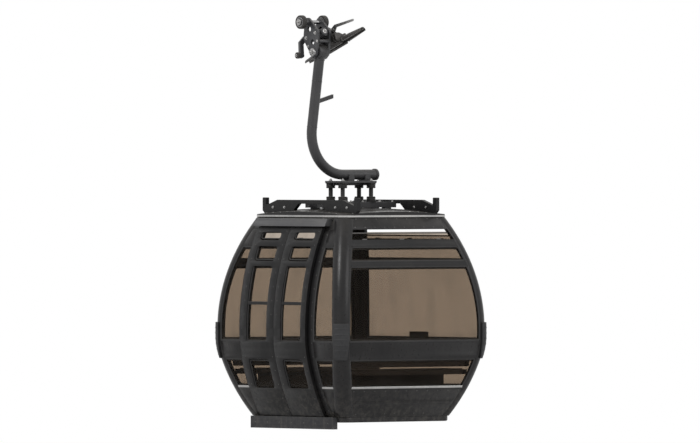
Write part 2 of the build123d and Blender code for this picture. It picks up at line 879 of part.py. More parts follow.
# Dampers: rods with a rubber pad at each end, from the bearing frame to the head
damper_low_z = floor_z + beam_top
damper_top_z = head_top_z - head_t
with BuildPart() as dampers:
    with BuildSketch(Plane.XY.offset(damper_low_z)):
        with Locations((0, cabin_y)):
            with GridLocations(2 * beam_x, 2 * damper_y, 2, 2):
                Circle(damper_r)
    extrude(amount=damper_top_z - damper_low_z)
    for level, turn in ((damper_low_z, 1), (damper_top_z, -1)):
        for radius, height in ((damper_flange_r, damper_flange_h), (damper_pad_r, damper_pad_h)):
            with BuildSketch(Plane.XY.offset(level)):
                with Locations((0, cabin_y)):
                    with GridLocations(2 * beam_x, 2 * damper_y, 2, 2):
                        Circle(radius)
            extrude(amount=turn * height)
dampers.part.label = "dampers"
export_step(dampers.part, "parts/dampers.step")

# Fixed jaw: the outboard half of the clamp, with two lugs for the jaw shaft
with BuildPart() as fixed_jaw:
    with BuildSketch(rope_cross.offset(-jaw_length / 2)):
        with BuildLine():
            Polyline(
                (-jaw_split, 0),
                (-jaw_split, jaw_crown),
                (jaw_top_y, jaw_top),
                (jaw_back, jaw_top),
                (jaw_back, jaw_back_low),
                (jaw_heel_y, jaw_lip),
                (-jaw_lip_y, jaw_lip),
                (-jaw_mouth_y, jaw_mouth),
                close=True,
            )
        make_face()
        Circle(rope_r, mode=Mode.SUBTRACT)
    extrude(amount=jaw_length)
    for start in notch_starts:
        with BuildSketch(rope_cross.offset(start)):
            with Locations((jaw_back, 0)):
                Rectangle(2 * notch_depth, 4 * jaw_top)
        extrude(amount=notch_w, mode=Mode.SUBTRACT)
    for start in (lug_start, -lug_end):
        with BuildSketch(rope_cross.offset(start)):
            with Locations((shaft_y, shaft_rise)):
                Circle(lug_r)
            with Locations((shaft_y, (shaft_rise + lug_foot) / 2)):
                Rectangle(2 * lug_r, shaft_rise - lug_foot)
        extrude(amount=lug_end - lug_start)
    with BuildSketch(rope_cross.offset(-jaw_length)):
        with Locations((shaft_y, shaft_rise)):
            Circle(shaft_r)
    extrude(amount=2 * jaw_length, mode=Mode.SUBTRACT)
fixed_jaw.part.label = "fixed_jaw"
export_step(fixed_jaw.part, "parts/fixed_jaw.step")

# Closing jaw: the inboard half, with a link that goes over the rope to the jaw shaft
closing_face = [
    (jaw_split, 0),
    (jaw_split, jaw_crown),
    (30, 90),
    (58, 82),
    (64, 10),
    (46, jaw_lip),
    (jaw_lip_y, jaw_lip),
    (jaw_mouth_y, jaw_mouth),
]
link_face = [
    (8, 70),
    (58, 80),
    (44, 140),
    (0, 172),
    (shaft_y, shaft_rise + lug_r),
    (shaft_y, shaft_rise - lug_r),
    (-20, 118),
    (8, 98),
]
with BuildPart() as closing_jaw:
    with BuildSketch(rope_cross.offset(-closing_length / 2)):
        with BuildLine():
            Polyline(*closing_face, close=True)
        make_face()
        Circle(rope_r, mode=Mode.SUBTRACT)
    extrude(amount=closing_length)
    for start in notch_starts:
        with BuildSketch(rope_cross.offset(start)):
            with Locations((closing_face[4][0], 0)):
                Rectangle(notch_depth, 4 * jaw_top)
        extrude(amount=notch_w, mode=Mode.SUBTRACT)
    with BuildSketch(rope_cross.offset(-link_half)):
        with BuildLine():
            Polyline(*link_face, close=True)
        make_face()
        with Locations((shaft_y, shaft_rise)):
            Circle(lug_r)
    extrude(amount=2 * link_half)
    with BuildSketch(rope_cross.offset(-jaw_length)):
        with Locations((shaft_y, shaft_rise)):
            Circle(shaft_r)
    extrude(amount=2 * jaw_length, mode=Mode.SUBTRACT)
closing_jaw.part.label = "closing_jaw"
export_step(closing_jaw.part, "parts/closing_jaw.step")

# Jaw shaft, which carries the link and the lever
with BuildPart() as jaw_shaft:
    with BuildSketch(rope_cross.offset(lever_start - shaft_end)):
        with Locations((shaft_y, shaft_rise)):
            Circle(shaft_r)
    extrude(amount=lug_end + 2 * shaft_end - lever_start)
jaw_shaft.part.label = "jaw_shaft"
export_step(jaw_shaft.part, "parts/jaw_shaft.step")

# Rope guides: tapered half shells over the rope, beyond both ends of the fixed jaw
turn_cos = cos(radians(guide_turn))
guide_normal = (-slope_sin * turn_cos, -sin(radians(guide_turn)), slope_cos * turn_cos)
guide_plane = Plane(origin=(0, 0, 0), x_dir=along, z_dir=guide_normal)
with BuildPart() as rope_guides:
    for side in (-1, 1):
        with BuildSketch(guide_plane):
            with BuildLine():
                Polyline(
                    (side * jaw_length / 2, rope_r + guide_gap),
                    (side * jaw_length / 2, guide_collar_r),
                    (side * (jaw_length / 2 + guide_collar_w), guide_collar_r),
                    (side * (jaw_length / 2 + guide_collar_w), guide_root_r),
                    (side * guide_mid, guide_mid_r),
                    (side * guide_reach, guide_tip_r),
                    (side * guide_reach, rope_r + guide_gap),
                    close=True,
                )
            make_face()
        revolve(axis=rope_axis, revolution_arc=guide_arc)
rope_guides.part.label = "rope_guides"
export_step(rope_guides.part, "parts/rope_guides.step")

# Grip frame: two cheeks on either side of the hanger's eye, their bosses, ties and the foot on the jaw
cheek_in = eye_half + cheek_gap
inner_cheek_y = hanger_y + cheek_in
outer_cheek_y = hanger_y - cheek_in
with BuildPart() as grip_frame:
    for cheek_face in (inner_cheek_y + cheek_t, outer_cheek_y):
        with BuildSketch(grip_side.offset(-cheek_face)):
            with Locations((pivot_along, pivot_rise)):
                Circle(cheek_eye_r)
            with Locations((0, wheel_rise)):
                Circle(cheek_top_r)
            with Locations((-cheek_side, cheek_side_rise), (cheek_side, cheek_side_rise)):
                Circle(cheek_side_r)
            make_hull()
            for rise in cheek_hole_rises:
                with Locations((0, rise)):
                    Circle(cheek_hole_r, mode=Mode.SUBTRACT)
        extrude(amount=cheek_t)
    with BuildSketch(grip_side.offset(-jaw_back)):
        with Locations((0, foot_h / 2)):
            Rectangle(2 * cheek_side, foot_h)
    extrude(amount=jaw_back - inner_cheek_y - cheek_t)
    with BuildSketch(grip_side.offset(-outer_cheek_y + cheek_t)):
        with Locations((0, wheel_rise)):
            Circle(spacer_r)
    extrude(amount=outer_cheek_y - cheek_t - wheel_outer_y - wheel_w / 2 - axle_cap_gap)
    with BuildSketch(grip_side.offset(-inner_cheek_y)):
        with Locations((-cheek_side, cheek_tie_rise), (cheek_side, cheek_tie_rise)):
            Circle(cheek_tie_r)
    extrude(amount=2 * cheek_in)
    with BuildSketch(grip_side):
        with Locations((0, wheel_rise)):
            Circle(axle_r)
        with Locations((pivot_along, pivot_rise)):
            Circle(pin_r)
    extrude(amount=-2 * wheel_outer_y, mode=Mode.SUBTRACT)
grip_frame.part.label = "grip_frame"
export_step(grip_frame.part, "parts/grip_frame.step")

# Hanger pin, level and across the rope
with BuildPart() as hanger_pin:
    pin_end_y = outer_cheek_y - cheek_t
    with BuildSketch(grip_side.offset(-inner_cheek_y - cheek_t)):
        with Locations((pivot_along, pivot_rise)):
            Circle(pin_r)
    extrude(amount=inner_cheek_y + cheek_t - pin_end_y)
    with BuildSketch(grip_side.offset(-pin_end_y)):
        with Locations((pivot_along, pivot_rise)):
            Circle(pin_head_r)
    extrude(amount=pin_head_t)
hanger_pin.part.label = "hanger_pin"
export_step(hanger_pin.part, "parts/hanger_pin.step")

# Spring barrel between the cheeks, with rings round it
ring_count = 5
ring_step = barrel_ring_w + barrel_ring_gap
with BuildPart() as spring_barrel:
    with BuildSketch(rope_cross.offset(-barrel_spring_half)):
        with Locations((hanger_y, cheek_side_rise)):
            Circle(barrel_spring_r)
    extrude(amount=2 * barrel_spring_half)
    for place in range(-(ring_count // 2), ring_count // 2 + 1):
        with BuildSketch(rope_cross.offset(place * ring_step - barrel_ring_w / 2)):
            with Locations((hanger_y, cheek_side_rise)):
                Circle(barrel_ring_r)
        extrude(amount=barrel_ring_w)
    for start in (-cheek_side - barrel_end_t / 2, cheek_side - barrel_end_t / 2):
        with BuildSketch(rope_cross.offset(start)):
            with Locations((hanger_y, cheek_side_rise)):
                Rectangle(2 * cheek_in, barrel_end_h)
        extrude(amount=barrel_end_t)
spring_barrel.part.label = "spring_barrel"
export_step(spring_barrel.part, "parts/spring_barrel.step")

# Wheel axle with a cap at each end
with BuildPart() as wheel_axle:
    axle_first = wheel_inner_y + wheel_w / 2 + axle_cap_gap
    axle_last = wheel_outer_y - wheel_w / 2 - axle_cap_gap
    with BuildSketch(grip_side.offset(-axle_first)):
        with Locations((0, wheel_rise)):
            Circle(axle_r)
    extrude(amount=axle_first - axle_last)
    with BuildSketch(grip_side.offset(-axle_first)):
        with Locations((0, wheel_rise)):
            Circle(axle_cap_r)
    extrude(amount=-axle_cap_t)
    with BuildSketch(grip_side.offset(-axle_last)):
        with Locations((0, wheel_rise)):
            Circle(axle_cap_r)
    extrude(amount=axle_cap_t)
wheel_axle.part.label = "wheel_axle"
export_step(wheel_axle.part, "parts/wheel_axle.step")

# Running wheels: a hub with a rim, a web and a boss, and a tyre each
for node, wheel_y in (("wheel_inner", wheel_inner_y), ("wheel_outer", wheel_outer_y)):
    with BuildPart() as wheel_hub:
        with BuildSketch(grip_side.offset(-wheel_y - wheel_w / 2)):
            with Locations((0, wheel_rise)):
                Circle(wheel_hub_r)
                Circle(axle_r + run_gap, mode=Mode.SUBTRACT)
        extrude(amount=wheel_w)
        for face_y, turn in ((wheel_y + wheel_w / 2, 1), (wheel_y - wheel_w / 2, -1)):
            with BuildSketch(grip_side.offset(-face_y)):
                with Locations((0, wheel_rise)):
                    Circle(wheel_rim_r)
                    Circle(wheel_boss_r, mode=Mode.SUBTRACT)
            extrude(amount=turn * (wheel_w - wheel_web_t) / 2, mode=Mode.SUBTRACT)
    wheel_hub.part.label = f"{node}_hub"
    export_step(wheel_hub.part, f"parts/{node}_hub.step")

    with BuildPart() as wheel_tyre:
        with BuildSketch(grip_side.offset(-wheel_y - wheel_w / 2)):
            with Locations((0, wheel_rise)):
                Circle(wheel_r)
                Circle(wheel_hub_r, mode=Mode.SUBTRACT)
        extrude(amount=wheel_w)
        rims = wheel_tyre.edges().filter_by(GeomType.CIRCLE).filter_by(
            lambda edge: edge.radius > wheel_r - 1
        )
        fillet(rims, wheel_edge_r)
    wheel_tyre.part.label = f"{node}_tyre"
    export_step(wheel_tyre.part, f"parts/{node}_tyre.step")

# Closing lever: from the jaw shaft over the frame and down to its roller
with BuildPart() as closing_lever:
    with BuildSketch(rope_cross.offset(lever_start)):
        with BuildLine():
            Polyline(
                (shaft_y, shaft_rise + lever_half_w),
                *lever_knees,
                (lever_end_y - lever_end_half, lever_end_rise),
                (lever_end_y + lever_end_half, lever_end_rise),
                *lever_knees_under,
                (shaft_y, shaft_rise - lever_half_w),
                close=True,
            )
        make_face()
        with Locations((shaft_y, shaft_rise)):
            Circle(lever_root_r)
        with Locations((lever_end_y, lever_end_rise)):
            Circle(lever_end_r)
        with Locations((shaft_y, shaft_rise)):
            Circle(shaft_r, mode=Mode.SUBTRACT)
    extrude(amount=lever_t)
    lever_mid = lever_start + lever_t / 2
    with BuildSketch(grip_side.offset(-lever_end_y)):
        with Locations((lever_mid, lever_end_rise)):
            Circle(roller_axle_r)
    extrude(amount=lever_end_r + roller_gap + roller_w + roller_axle_end)
closing_lever.part.label = "closing_lever"
export_step(closing_lever.part, "parts/closing_lever.step")

# Lever roller
with BuildPart() as lever_roller:
    with BuildSketch(grip_side.offset(-lever_end_y + lever_end_r + roller_gap)):
        with Locations((lever_mid, lever_end_rise)):
            Circle(roller_r)
            Circle(roller_axle_r + run_gap, mode=Mode.SUBTRACT)
    extrude(amount=roller_w)
    roller_rims = lever_roller.edges().filter_by(GeomType.CIRCLE).filter_by(
        lambda edge: edge.radius > roller_r - 1
    )
    fillet(roller_rims, roller_edge_r)
lever_roller.part.label = "lever_roller"
export_step(lever_roller.part, "parts/lever_roller.step")

# Guide horn on the uphill lug
horn_face = [
    (lug_end, 108),
    (lug_end, 166),
    (130, 188),
    (420, 140),
    (428, 126),
    (410, 118),
    (150, 152),
    (100, 112),
]
with BuildPart() as guide_horn:
    with BuildSketch(grip_side.offset(-horn_y - horn_t / 2)):
        with BuildLine():
            Polyline(*horn_face, close=True)
        make_face()
    extrude(amount=horn_t)
guide_horn.part.label = "guide_horn"
export_step(guide_horn.part, "parts/guide_horn.step")
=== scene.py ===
# Looks of the cable car cabin: finishes, seals, fastenings, linings and the studio round it.
# Metres. +Z is up, +X uphill, +Y to the inboard side, the doors are on the -Y side.
import json
from math import asin, cos, pi, radians, sin, sqrt

import bmesh
import bpy
from mathutils import Matrix, Vector


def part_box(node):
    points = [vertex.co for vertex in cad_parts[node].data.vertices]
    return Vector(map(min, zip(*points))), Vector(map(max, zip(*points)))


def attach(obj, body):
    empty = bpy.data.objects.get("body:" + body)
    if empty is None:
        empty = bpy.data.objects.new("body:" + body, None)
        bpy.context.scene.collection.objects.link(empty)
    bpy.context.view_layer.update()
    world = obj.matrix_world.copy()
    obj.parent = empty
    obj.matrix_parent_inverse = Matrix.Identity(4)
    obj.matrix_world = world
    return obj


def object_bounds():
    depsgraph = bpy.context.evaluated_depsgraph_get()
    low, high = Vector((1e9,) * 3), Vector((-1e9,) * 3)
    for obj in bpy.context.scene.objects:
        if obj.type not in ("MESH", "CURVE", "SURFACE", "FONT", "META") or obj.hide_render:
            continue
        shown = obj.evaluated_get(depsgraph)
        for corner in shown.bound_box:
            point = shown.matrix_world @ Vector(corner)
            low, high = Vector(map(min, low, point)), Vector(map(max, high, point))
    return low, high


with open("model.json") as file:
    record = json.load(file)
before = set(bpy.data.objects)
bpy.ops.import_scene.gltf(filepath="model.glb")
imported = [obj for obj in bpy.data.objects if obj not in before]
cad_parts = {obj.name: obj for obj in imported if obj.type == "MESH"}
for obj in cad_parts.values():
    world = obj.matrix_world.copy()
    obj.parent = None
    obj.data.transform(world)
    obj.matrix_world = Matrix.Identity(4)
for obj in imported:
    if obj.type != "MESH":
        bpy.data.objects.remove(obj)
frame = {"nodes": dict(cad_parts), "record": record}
cad_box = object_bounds()
scene = bpy.context.scene
nodes = frame["nodes"]

X, Y, Z = Vector((1, 0, 0)), Vector((0, 1, 0)), Vector((0, 0, 1))

# The cabin's place, from its floor pan
pan_low, pan_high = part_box("floor_pan")
CABIN = Vector(((pan_low.x + pan_high.x) / 2, (pan_low.y + pan_high.y) / 2, pan_low.z))

# The walls' cross-section, as heights above the pan and radii of its arcs
BELT_HALF = 1.002
BELT_LOW = 0.876
BELT_HIGH = 0.950
BARREL_R = 2.330
BILGE_R = 0.900
BILGE_TURN = radians(13)
SKIRT_R = 2.318
ROOF_EDGE = 2.091
CORNER_R = 0.110
POST_INSET = 0.120

# Heights of the bands in the walls
FLOOR_TOP = 0.100
SKIRT_TOP = 0.344
SILL_LOW = 0.640
SILL_TOP = 0.822
TRANSOM_LOW = 1.590
TRANSOM_TOP = 1.640
BAR_LOW = 1.790
BAR_TOP = 1.860
HEADER_LOW = 1.963

# The doorway and the leaves
DOORWAY_HALF = 0.460
JAMB_END = 0.573
LEAF_FACE = 0.043
LEAF_PANE_START = 0.110
LEAF_PANE_END = 0.421
LEAF_PANE_R = 0.030
LEAF_LOW = 0.060
LEAF_TOP = 1.985
LEAF_VENT_LOW = 1.852
LEAF_VENT_TOP = 1.932

# Heights of the openings that hold panes
CLOSED_BANDS = ((SKIRT_TOP, SILL_LOW), (SILL_TOP, TRANSOM_LOW), (TRANSOM_TOP, BAR_LOW))
DOOR_SIDE_BANDS = ((SKIRT_TOP, SILL_LOW), (SILL_TOP, BAR_LOW))
LEAF_BANDS = (*CLOSED_BANDS, (LEAF_VENT_LOW, LEAF_VENT_TOP))

# The grip's own directions, along the rope and square to it, and the pivot of its hanger
ROPE_SLOPE = radians(21)
ALONG = Vector((cos(ROPE_SLOPE), 0, sin(ROPE_SLOPE)))
SQUARE = Vector((-sin(ROPE_SLOPE), 0, cos(ROPE_SLOPE)))
PIVOT = Vector((0, -0.205, -0.060))

# Each wall's outward and sideways directions
WALLS = {"front": (X, Y), "rear": (-X, Y), "inboard": (Y, X), "door": (-Y, X)}
CLOSED = ("front", "rear", "inboard")


def wall_curve(height, inset=0.0):
    """Half width of the cabin at a height on its curve moved in by inset, and the wall's upward tilt."""
    bilge_x = BELT_HALF - BILGE_R
    if height >= BELT_HIGH:
        centre, radius = (BELT_HALF - BARREL_R, BELT_HIGH), BARREL_R - inset
    elif height >= BELT_LOW:
        return BELT_HALF - inset, 0.0
    elif height >= BELT_LOW - (BILGE_R - inset) * sin(BILGE_TURN):
        centre, radius = (bilge_x, BELT_LOW), BILGE_R - inset
    else:
        back = SKIRT_R - BILGE_R
        centre = (bilge_x - back * cos(BILGE_TURN), BELT_LOW + back * sin(BILGE_TURN))
        radius = SKIRT_R - inset
    tilt = asin((height - centre[1]) / radius)
    return centre[0] + radius * cos(tilt), tilt


def wall_frame(wall, across, height, out=0.0):
    """A point on a wall with its sideways, upward and outward directions there."""
    outward, sideways = WALLS[wall]
    half, tilt = wall_curve(height)
    normal = outward * cos(tilt) + Z * sin(tilt)
    upward = Z * cos(tilt) - outward * sin(tilt)
    return CABIN + outward * half + sideways * across + Z * height + normal * out, sideways, upward, normal


def post_edge(height):
    """Where the corner posts begin, across a wall from its middle."""
    return wall_curve(height, POST_INSET)[0]


def far_post(height):
    """The same edge on the other side of the wall's middle."""
    return -post_edge(height)


def upright(across):
    """An edge that stands at one distance across a wall, whatever the height."""
    return lambda height: across


def grip_point(along, across, rise):
    """A point in the grip's own directions."""
    return ALONG * along + Y * across + SQUARE * rise


# Rows of values
def spread(first, last, steps):
    """Values from first to last in as many even steps."""
    return [first + (last - first) * i / steps for i in range(steps + 1)]


def spaced(first, step, count):
    """As many values from first on, a step apart."""
    return [first + i * step for i in range(count)]


def around(count):
    """Angles of as many places round a circle."""
    return [2 * pi * i / count for i in range(count)]


def loop_runs(points):
    """The direction along a closed loop at each of its points."""
    return [(after - before).normalized()
            for before, after in zip(points[-1:] + points[:-1], points[1:] + points[:1])]


# Sections: points across a strip and out of the wall that carries it
def oblong(near, far, back, face):
    """A section with four corners."""
    return ((near, face), (far, face), (far, back), (near, back))


def sided(section, side):
    """A section drawn for the side of +X, turned over for the other side."""
    return [(side * across, out) for across, out in section]


# Mesh tools
SHARP_ANGLE = radians(35)


def add_object(name, data):
    """An object in the scene."""
    made = bpy.data.objects.new(name, data)
    scene.collection.objects.link(made)
    return made


def piece(name, body, look, fill):
    """A mesh piece that fill draws into a bmesh, riding on a body; look names its finish."""
    draft = bmesh.new()
    fill(draft)
    bmesh.ops.recalc_face_normals(draft, faces=draft.faces)
    mesh = bpy.data.meshes.new(name)
    draft.to_mesh(mesh)
    draft.free()
    mesh.polygons.foreach_set("use_smooth", [True] * len(mesh.polygons))
    mesh.set_sharp_from_angle(angle=SHARP_ANGLE)
    mesh.materials.append(looks[look])
    made = add_object(name, mesh)
    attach(made, body)


def skin(draft, rings, closed=False):
    """Faces between rings of as many vertices each, with end faces unless the rings form a closed loop."""
    following = rings[1:] + rings[:1] if closed else rings[1:]
    for first, second in zip(rings, following):
        for i in range(len(first)):
            j = (i + 1) % len(first)
            draft.faces.new((first[i], first[j], second[j], second[i]))
    if not closed:
        draft.faces.new(rings[0][::-1])
        draft.faces.new(rings[-1])


def sweep(draft, stations, section, closed=False):
    """A section carried through stations of a point and the section's two directions."""
    rings = [
        [draft.verts.new(point + side * u + out * v) for u, v in section]
        for point, side, out in stations
    ]
    skin(draft, rings, closed)


def turned(draft, place, axis, profile, size, sides):
    """A turned form: profile holds radii and heights above place, as shares of size."""
    turn = axis.to_track_quat("Z", "Y").to_matrix()
    rings = [
        [draft.verts.new(place + turn @ (Vector((radius * cos(angle), radius * sin(angle), rise)) * size))
         for angle in around(sides)]
        for radius, rise in profile
    ]
    skin(draft, rings)


def ring(draft, place, axis, radius, thickness, sides=40, tube=8):
    """A round ring of round section."""
    turn = axis.to_track_quat("Z", "Y").to_matrix()
    rings = []
    for angle in around(sides):
        radial = Vector((cos(angle), sin(angle), 0))
        rings.append([
            draft.verts.new(place + turn @ (radial * (radius + thickness * cos(part))
                                            + Z * thickness * sin(part)))
            for part in around(tube)
        ])
    skin(draft, rings, closed=True)


# Fasteners, as shares of their size
WASHER = ((1.45, 0), (1.45, 0.128), (1.38, 0.16))
HEXAGON = ((1, 0.16), (1, 0.857), (0.86, 1.01))
STUD_END = ((0.55, 1), (0.55, 1.35), (0.42, 1.5))
RIVET_HEAD = ((1, 0), (0.96, 0.14), (0.7, 0.3), (0.3, 0.38))


def hex_bolt(draft, place, axis, size):
    """A washer with a hexagon head; size is the head's radius."""
    turned(draft, place, axis, WASHER, size, sides=18)
    turned(draft, place, axis, HEXAGON, size, sides=6)


def stud_nut(draft, place, axis, size):
    """A hexagon nut on its washer with the stud's end showing."""
    hex_bolt(draft, place, axis, size)
    turned(draft, place, axis, STUD_END, size, sides=12)


def rivet(draft, place, axis, size):
    """A low domed rivet head."""
    turned(draft, place, axis, RIVET_HEAD, size, sides=10)


def cabin_block(draft, xs, ys, zs, edge):
    """A block with rounded edges between two places on each axis, counted from the cabin's place."""
    low, high = (CABIN + Vector(corner) for corner in zip(*(sorted(pair) for pair in (xs, ys, zs))))
    middle, size = (low + high) / 2, high - low
    made = bmesh.ops.create_cube(draft, size=1.0)["verts"]
    for vert in made:
        vert.co = middle + vert.co * size
    edges = {e for vert in made for e in vert.link_edges}
    bmesh.ops.bevel(draft, geom=list(edges), offset=edge, segments=2, affect="EDGES", profile=0.5)


# Strips on the walls
SEAL_SIDE_STEPS = 14
SEAL_CORNER_STEPS = 5


def wall_loop(low, high, left, right, corner):
    """Points and inward directions round an opening in a wall, as across and height."""
    def mix(first, last, part):
        return first + (last - first) * part

    sides = (
        lambda t: Vector((mix(left(low), right(low), t), low)),
        lambda t: Vector((right(mix(low, high, t)), mix(low, high, t))),
        lambda t: Vector((mix(right(high), left(high), t), high)),
        lambda t: Vector((left(mix(high, low, t)), mix(high, low, t))),
    )
    points = []
    for number, side in enumerate(sides):
        trim = corner / (side(1) - side(0)).length
        points += [side(t) for t in spread(trim, 1 - trim, SEAL_SIDE_STEPS)]
        after = sides[(number + 1) % 4]
        after_trim = corner / (after(1) - after(0)).length
        start, control, end = side(1 - trim), side(1), after(after_trim)
        for t in spread(0, 1, SEAL_CORNER_STEPS)[1:-1]:
            points.append(start * (1 - t) ** 2 + control * 2 * t * (1 - t) + end * t ** 2)
    return points, [Vector((-run.y, run.x)) for run in loop_runs(points)]


def wall_seal(draft, wall, low, high, left, right, section, corner):
    """A seal round an opening in a wall; left and right give the opening's edges at a height."""
    stations = []
    for spot, way in zip(*wall_loop(low, high, left, right, corner)):
        point, sideways, upward, normal = wall_frame(wall, spot.x, spot.y)
        stations.append((point, sideways * way.x + upward * way.y, normal))
    sweep(draft, stations, section, closed=True)


def wall_band(draft, wall, height, left, right, section, steps=2):
    """A level strip of the given section across a wall; the section is upward and outward."""
    stations = []
    for across in spread(left, right, steps):
        point, _, upward, normal = wall_frame(wall, across, height)
        stations.append((point, upward, normal))
    sweep(draft, stations, section)


def wall_upright(draft, wall, across, low, high, section, steps):
    """An upright strip of the given section that follows a wall; the section is sideways and outward."""
    stations = []
    for height in spread(low, high, steps):
        point, sideways, _, normal = wall_frame(wall, across, height)
        stations.append((point, sideways, normal))
    sweep(draft, stations, section)


# Material tools
def add_node(tree, kind, inputs=None, **settings):
    """A shader node with its settings and inputs, each a value or another node's output."""
    made = tree.nodes.new(kind)
    for key, value in settings.items():
        setattr(made, key, value)
    for key, value in (inputs or {}).items():
        if isinstance(value, bpy.types.NodeSocket):
            tree.links.new(value, made.inputs[key])
        else:
            made.inputs[key].default_value = value
    return made


def start_material(name):
    """An empty node material, its tree and the object coordinates in it."""
    made = bpy.data.materials.new(name)
    made.use_nodes = True
    tree = made.node_tree
    tree.nodes.clear()
    coords = add_node(tree, "ShaderNodeTexCoord").outputs["Object"]
    return made, tree, coords


def noise(tree, coords, scale, detail, roughness, stretch=(1, 1, 1)):
    """A noise value from 0 to 1 in object space, stretched along the axes."""
    place = add_node(tree, "ShaderNodeMapping", {"Vector": coords, "Scale": stretch})
    made = add_node(tree, "ShaderNodeTexNoise", {
        "Vector": place.outputs["Vector"], "Scale": scale, "Detail": detail, "Roughness": roughness})
    return made.outputs["Fac"]


def ramp(tree, value, first, last, low=0.0, high=1.0):
    """A value taken smoothly from low at first to high at last."""
    made = add_node(tree, "ShaderNodeMapRange", {
        "Value": value, "From Min": first, "From Max": last, "To Min": low, "To Max": high},
        interpolation_type="SMOOTHSTEP")
    return made.outputs["Result"]


def maths(tree, operation, first, second):
    """One step of arithmetic, held between 0 and 1."""
    made = add_node(tree, "ShaderNodeMath", {0: first, 1: second}, operation=operation, use_clamp=True)
    return made.outputs["Value"]


def upward_share(tree, vector):
    """The Z part of a vector."""
    return add_node(tree, "ShaderNodeSeparateXYZ", {"Vector": vector}).outputs["Z"]


# Sockets of the Mix node where it mixes colours
MIX_PART, MIX_FIRST, MIX_SECOND, MIX_RESULT = 0, 6, 7, 2


def blend_colour(tree, part, first, second):
    """A mix of two colours, each a value or an output."""
    first, second = (colour if isinstance(colour, bpy.types.NodeSocket) else (*colour, 1.0)
                     for colour in (first, second))
    made = add_node(tree, "ShaderNodeMix", {MIX_PART: part, MIX_FIRST: first, MIX_SECOND: second},
                    data_type="RGBA")
    return made.outputs[MIX_RESULT]


# Wear and weather on the finishes: a span is the two values between which a pattern comes up
EDGE_SPAN = (0.985, 0.80)
CHIP_SPAN = (0.62, 0.72)
CHIP_GAIN = 0.25
LYING_SPAN = (0.35, 0.95)
PATCH_SPAN = (0.30, 0.75)
PATCH_LEAST = 0.25
SPOT_SPAN = (0.42, 0.70)
TONE_SPAN = (0.30, 0.70)
SHADE = 0.6
SHADE_SPAN = (0.45, 0.85)
SHADE_SHARE = 0.35
ROUGH_SPAN = (0.30, 0.72)
STREAK_SPAN = (0.52, 0.80)
DUST = (0.24, 0.22, 0.19)
SPLASH_TOP = 0.55
SPLASH_FOOT = 0.02
STREAK_STRETCH = (1, 1, 0.035)
STREAK_DULLING = 0.5
DUST_DULLING = 0.6
GRAIN_DEPTH = 0.002


def edge_wear(tree, coords, radius, amount):
    """A value that is high on edges, broken up by noise."""
    rounded = add_node(tree, "ShaderNodeBevel", {"Radius": radius}, samples=4)
    true_normal = add_node(tree, "ShaderNodeNewGeometry").outputs["True Normal"]
    turn = add_node(tree, "ShaderNodeVectorMath", {0: rounded.outputs["Normal"], 1: true_normal},
                    operation="DOT_PRODUCT")
    edge = ramp(tree, turn.outputs["Value"], *EDGE_SPAN)
    grain = noise(tree, coords, scale=38, detail=6, roughness=0.7)
    start, end = CHIP_SPAN
    return maths(tree, "MULTIPLY", edge, ramp(tree, grain, start - CHIP_GAIN * amount, end))


def upward_dust(tree, coords, amount):
    """A value for dust that lies on faces that look up."""
    normal = add_node(tree, "ShaderNodeNewGeometry").outputs["Normal"]
    lying = ramp(tree, upward_share(tree, normal), *LYING_SPAN)
    cloud = noise(tree, coords, scale=7, detail=6, roughness=0.65)
    patches = ramp(tree, cloud, *PATCH_SPAN, low=PATCH_LEAST)
    return maths(tree, "MULTIPLY", maths(tree, "MULTIPLY", lying, patches), amount)


def thrown_dirt(tree, coords, amount):
    """A value for splashes that get thinner from the floor up."""
    low_part = ramp(tree, upward_share(tree, coords), CABIN.z + SPLASH_TOP, CABIN.z + SPLASH_FOOT)
    spots = ramp(tree, noise(tree, coords, scale=18, detail=8, roughness=0.75), *SPOT_SPAN)
    return maths(tree, "MULTIPLY", maths(tree, "MULTIPLY", low_part, spots), amount)


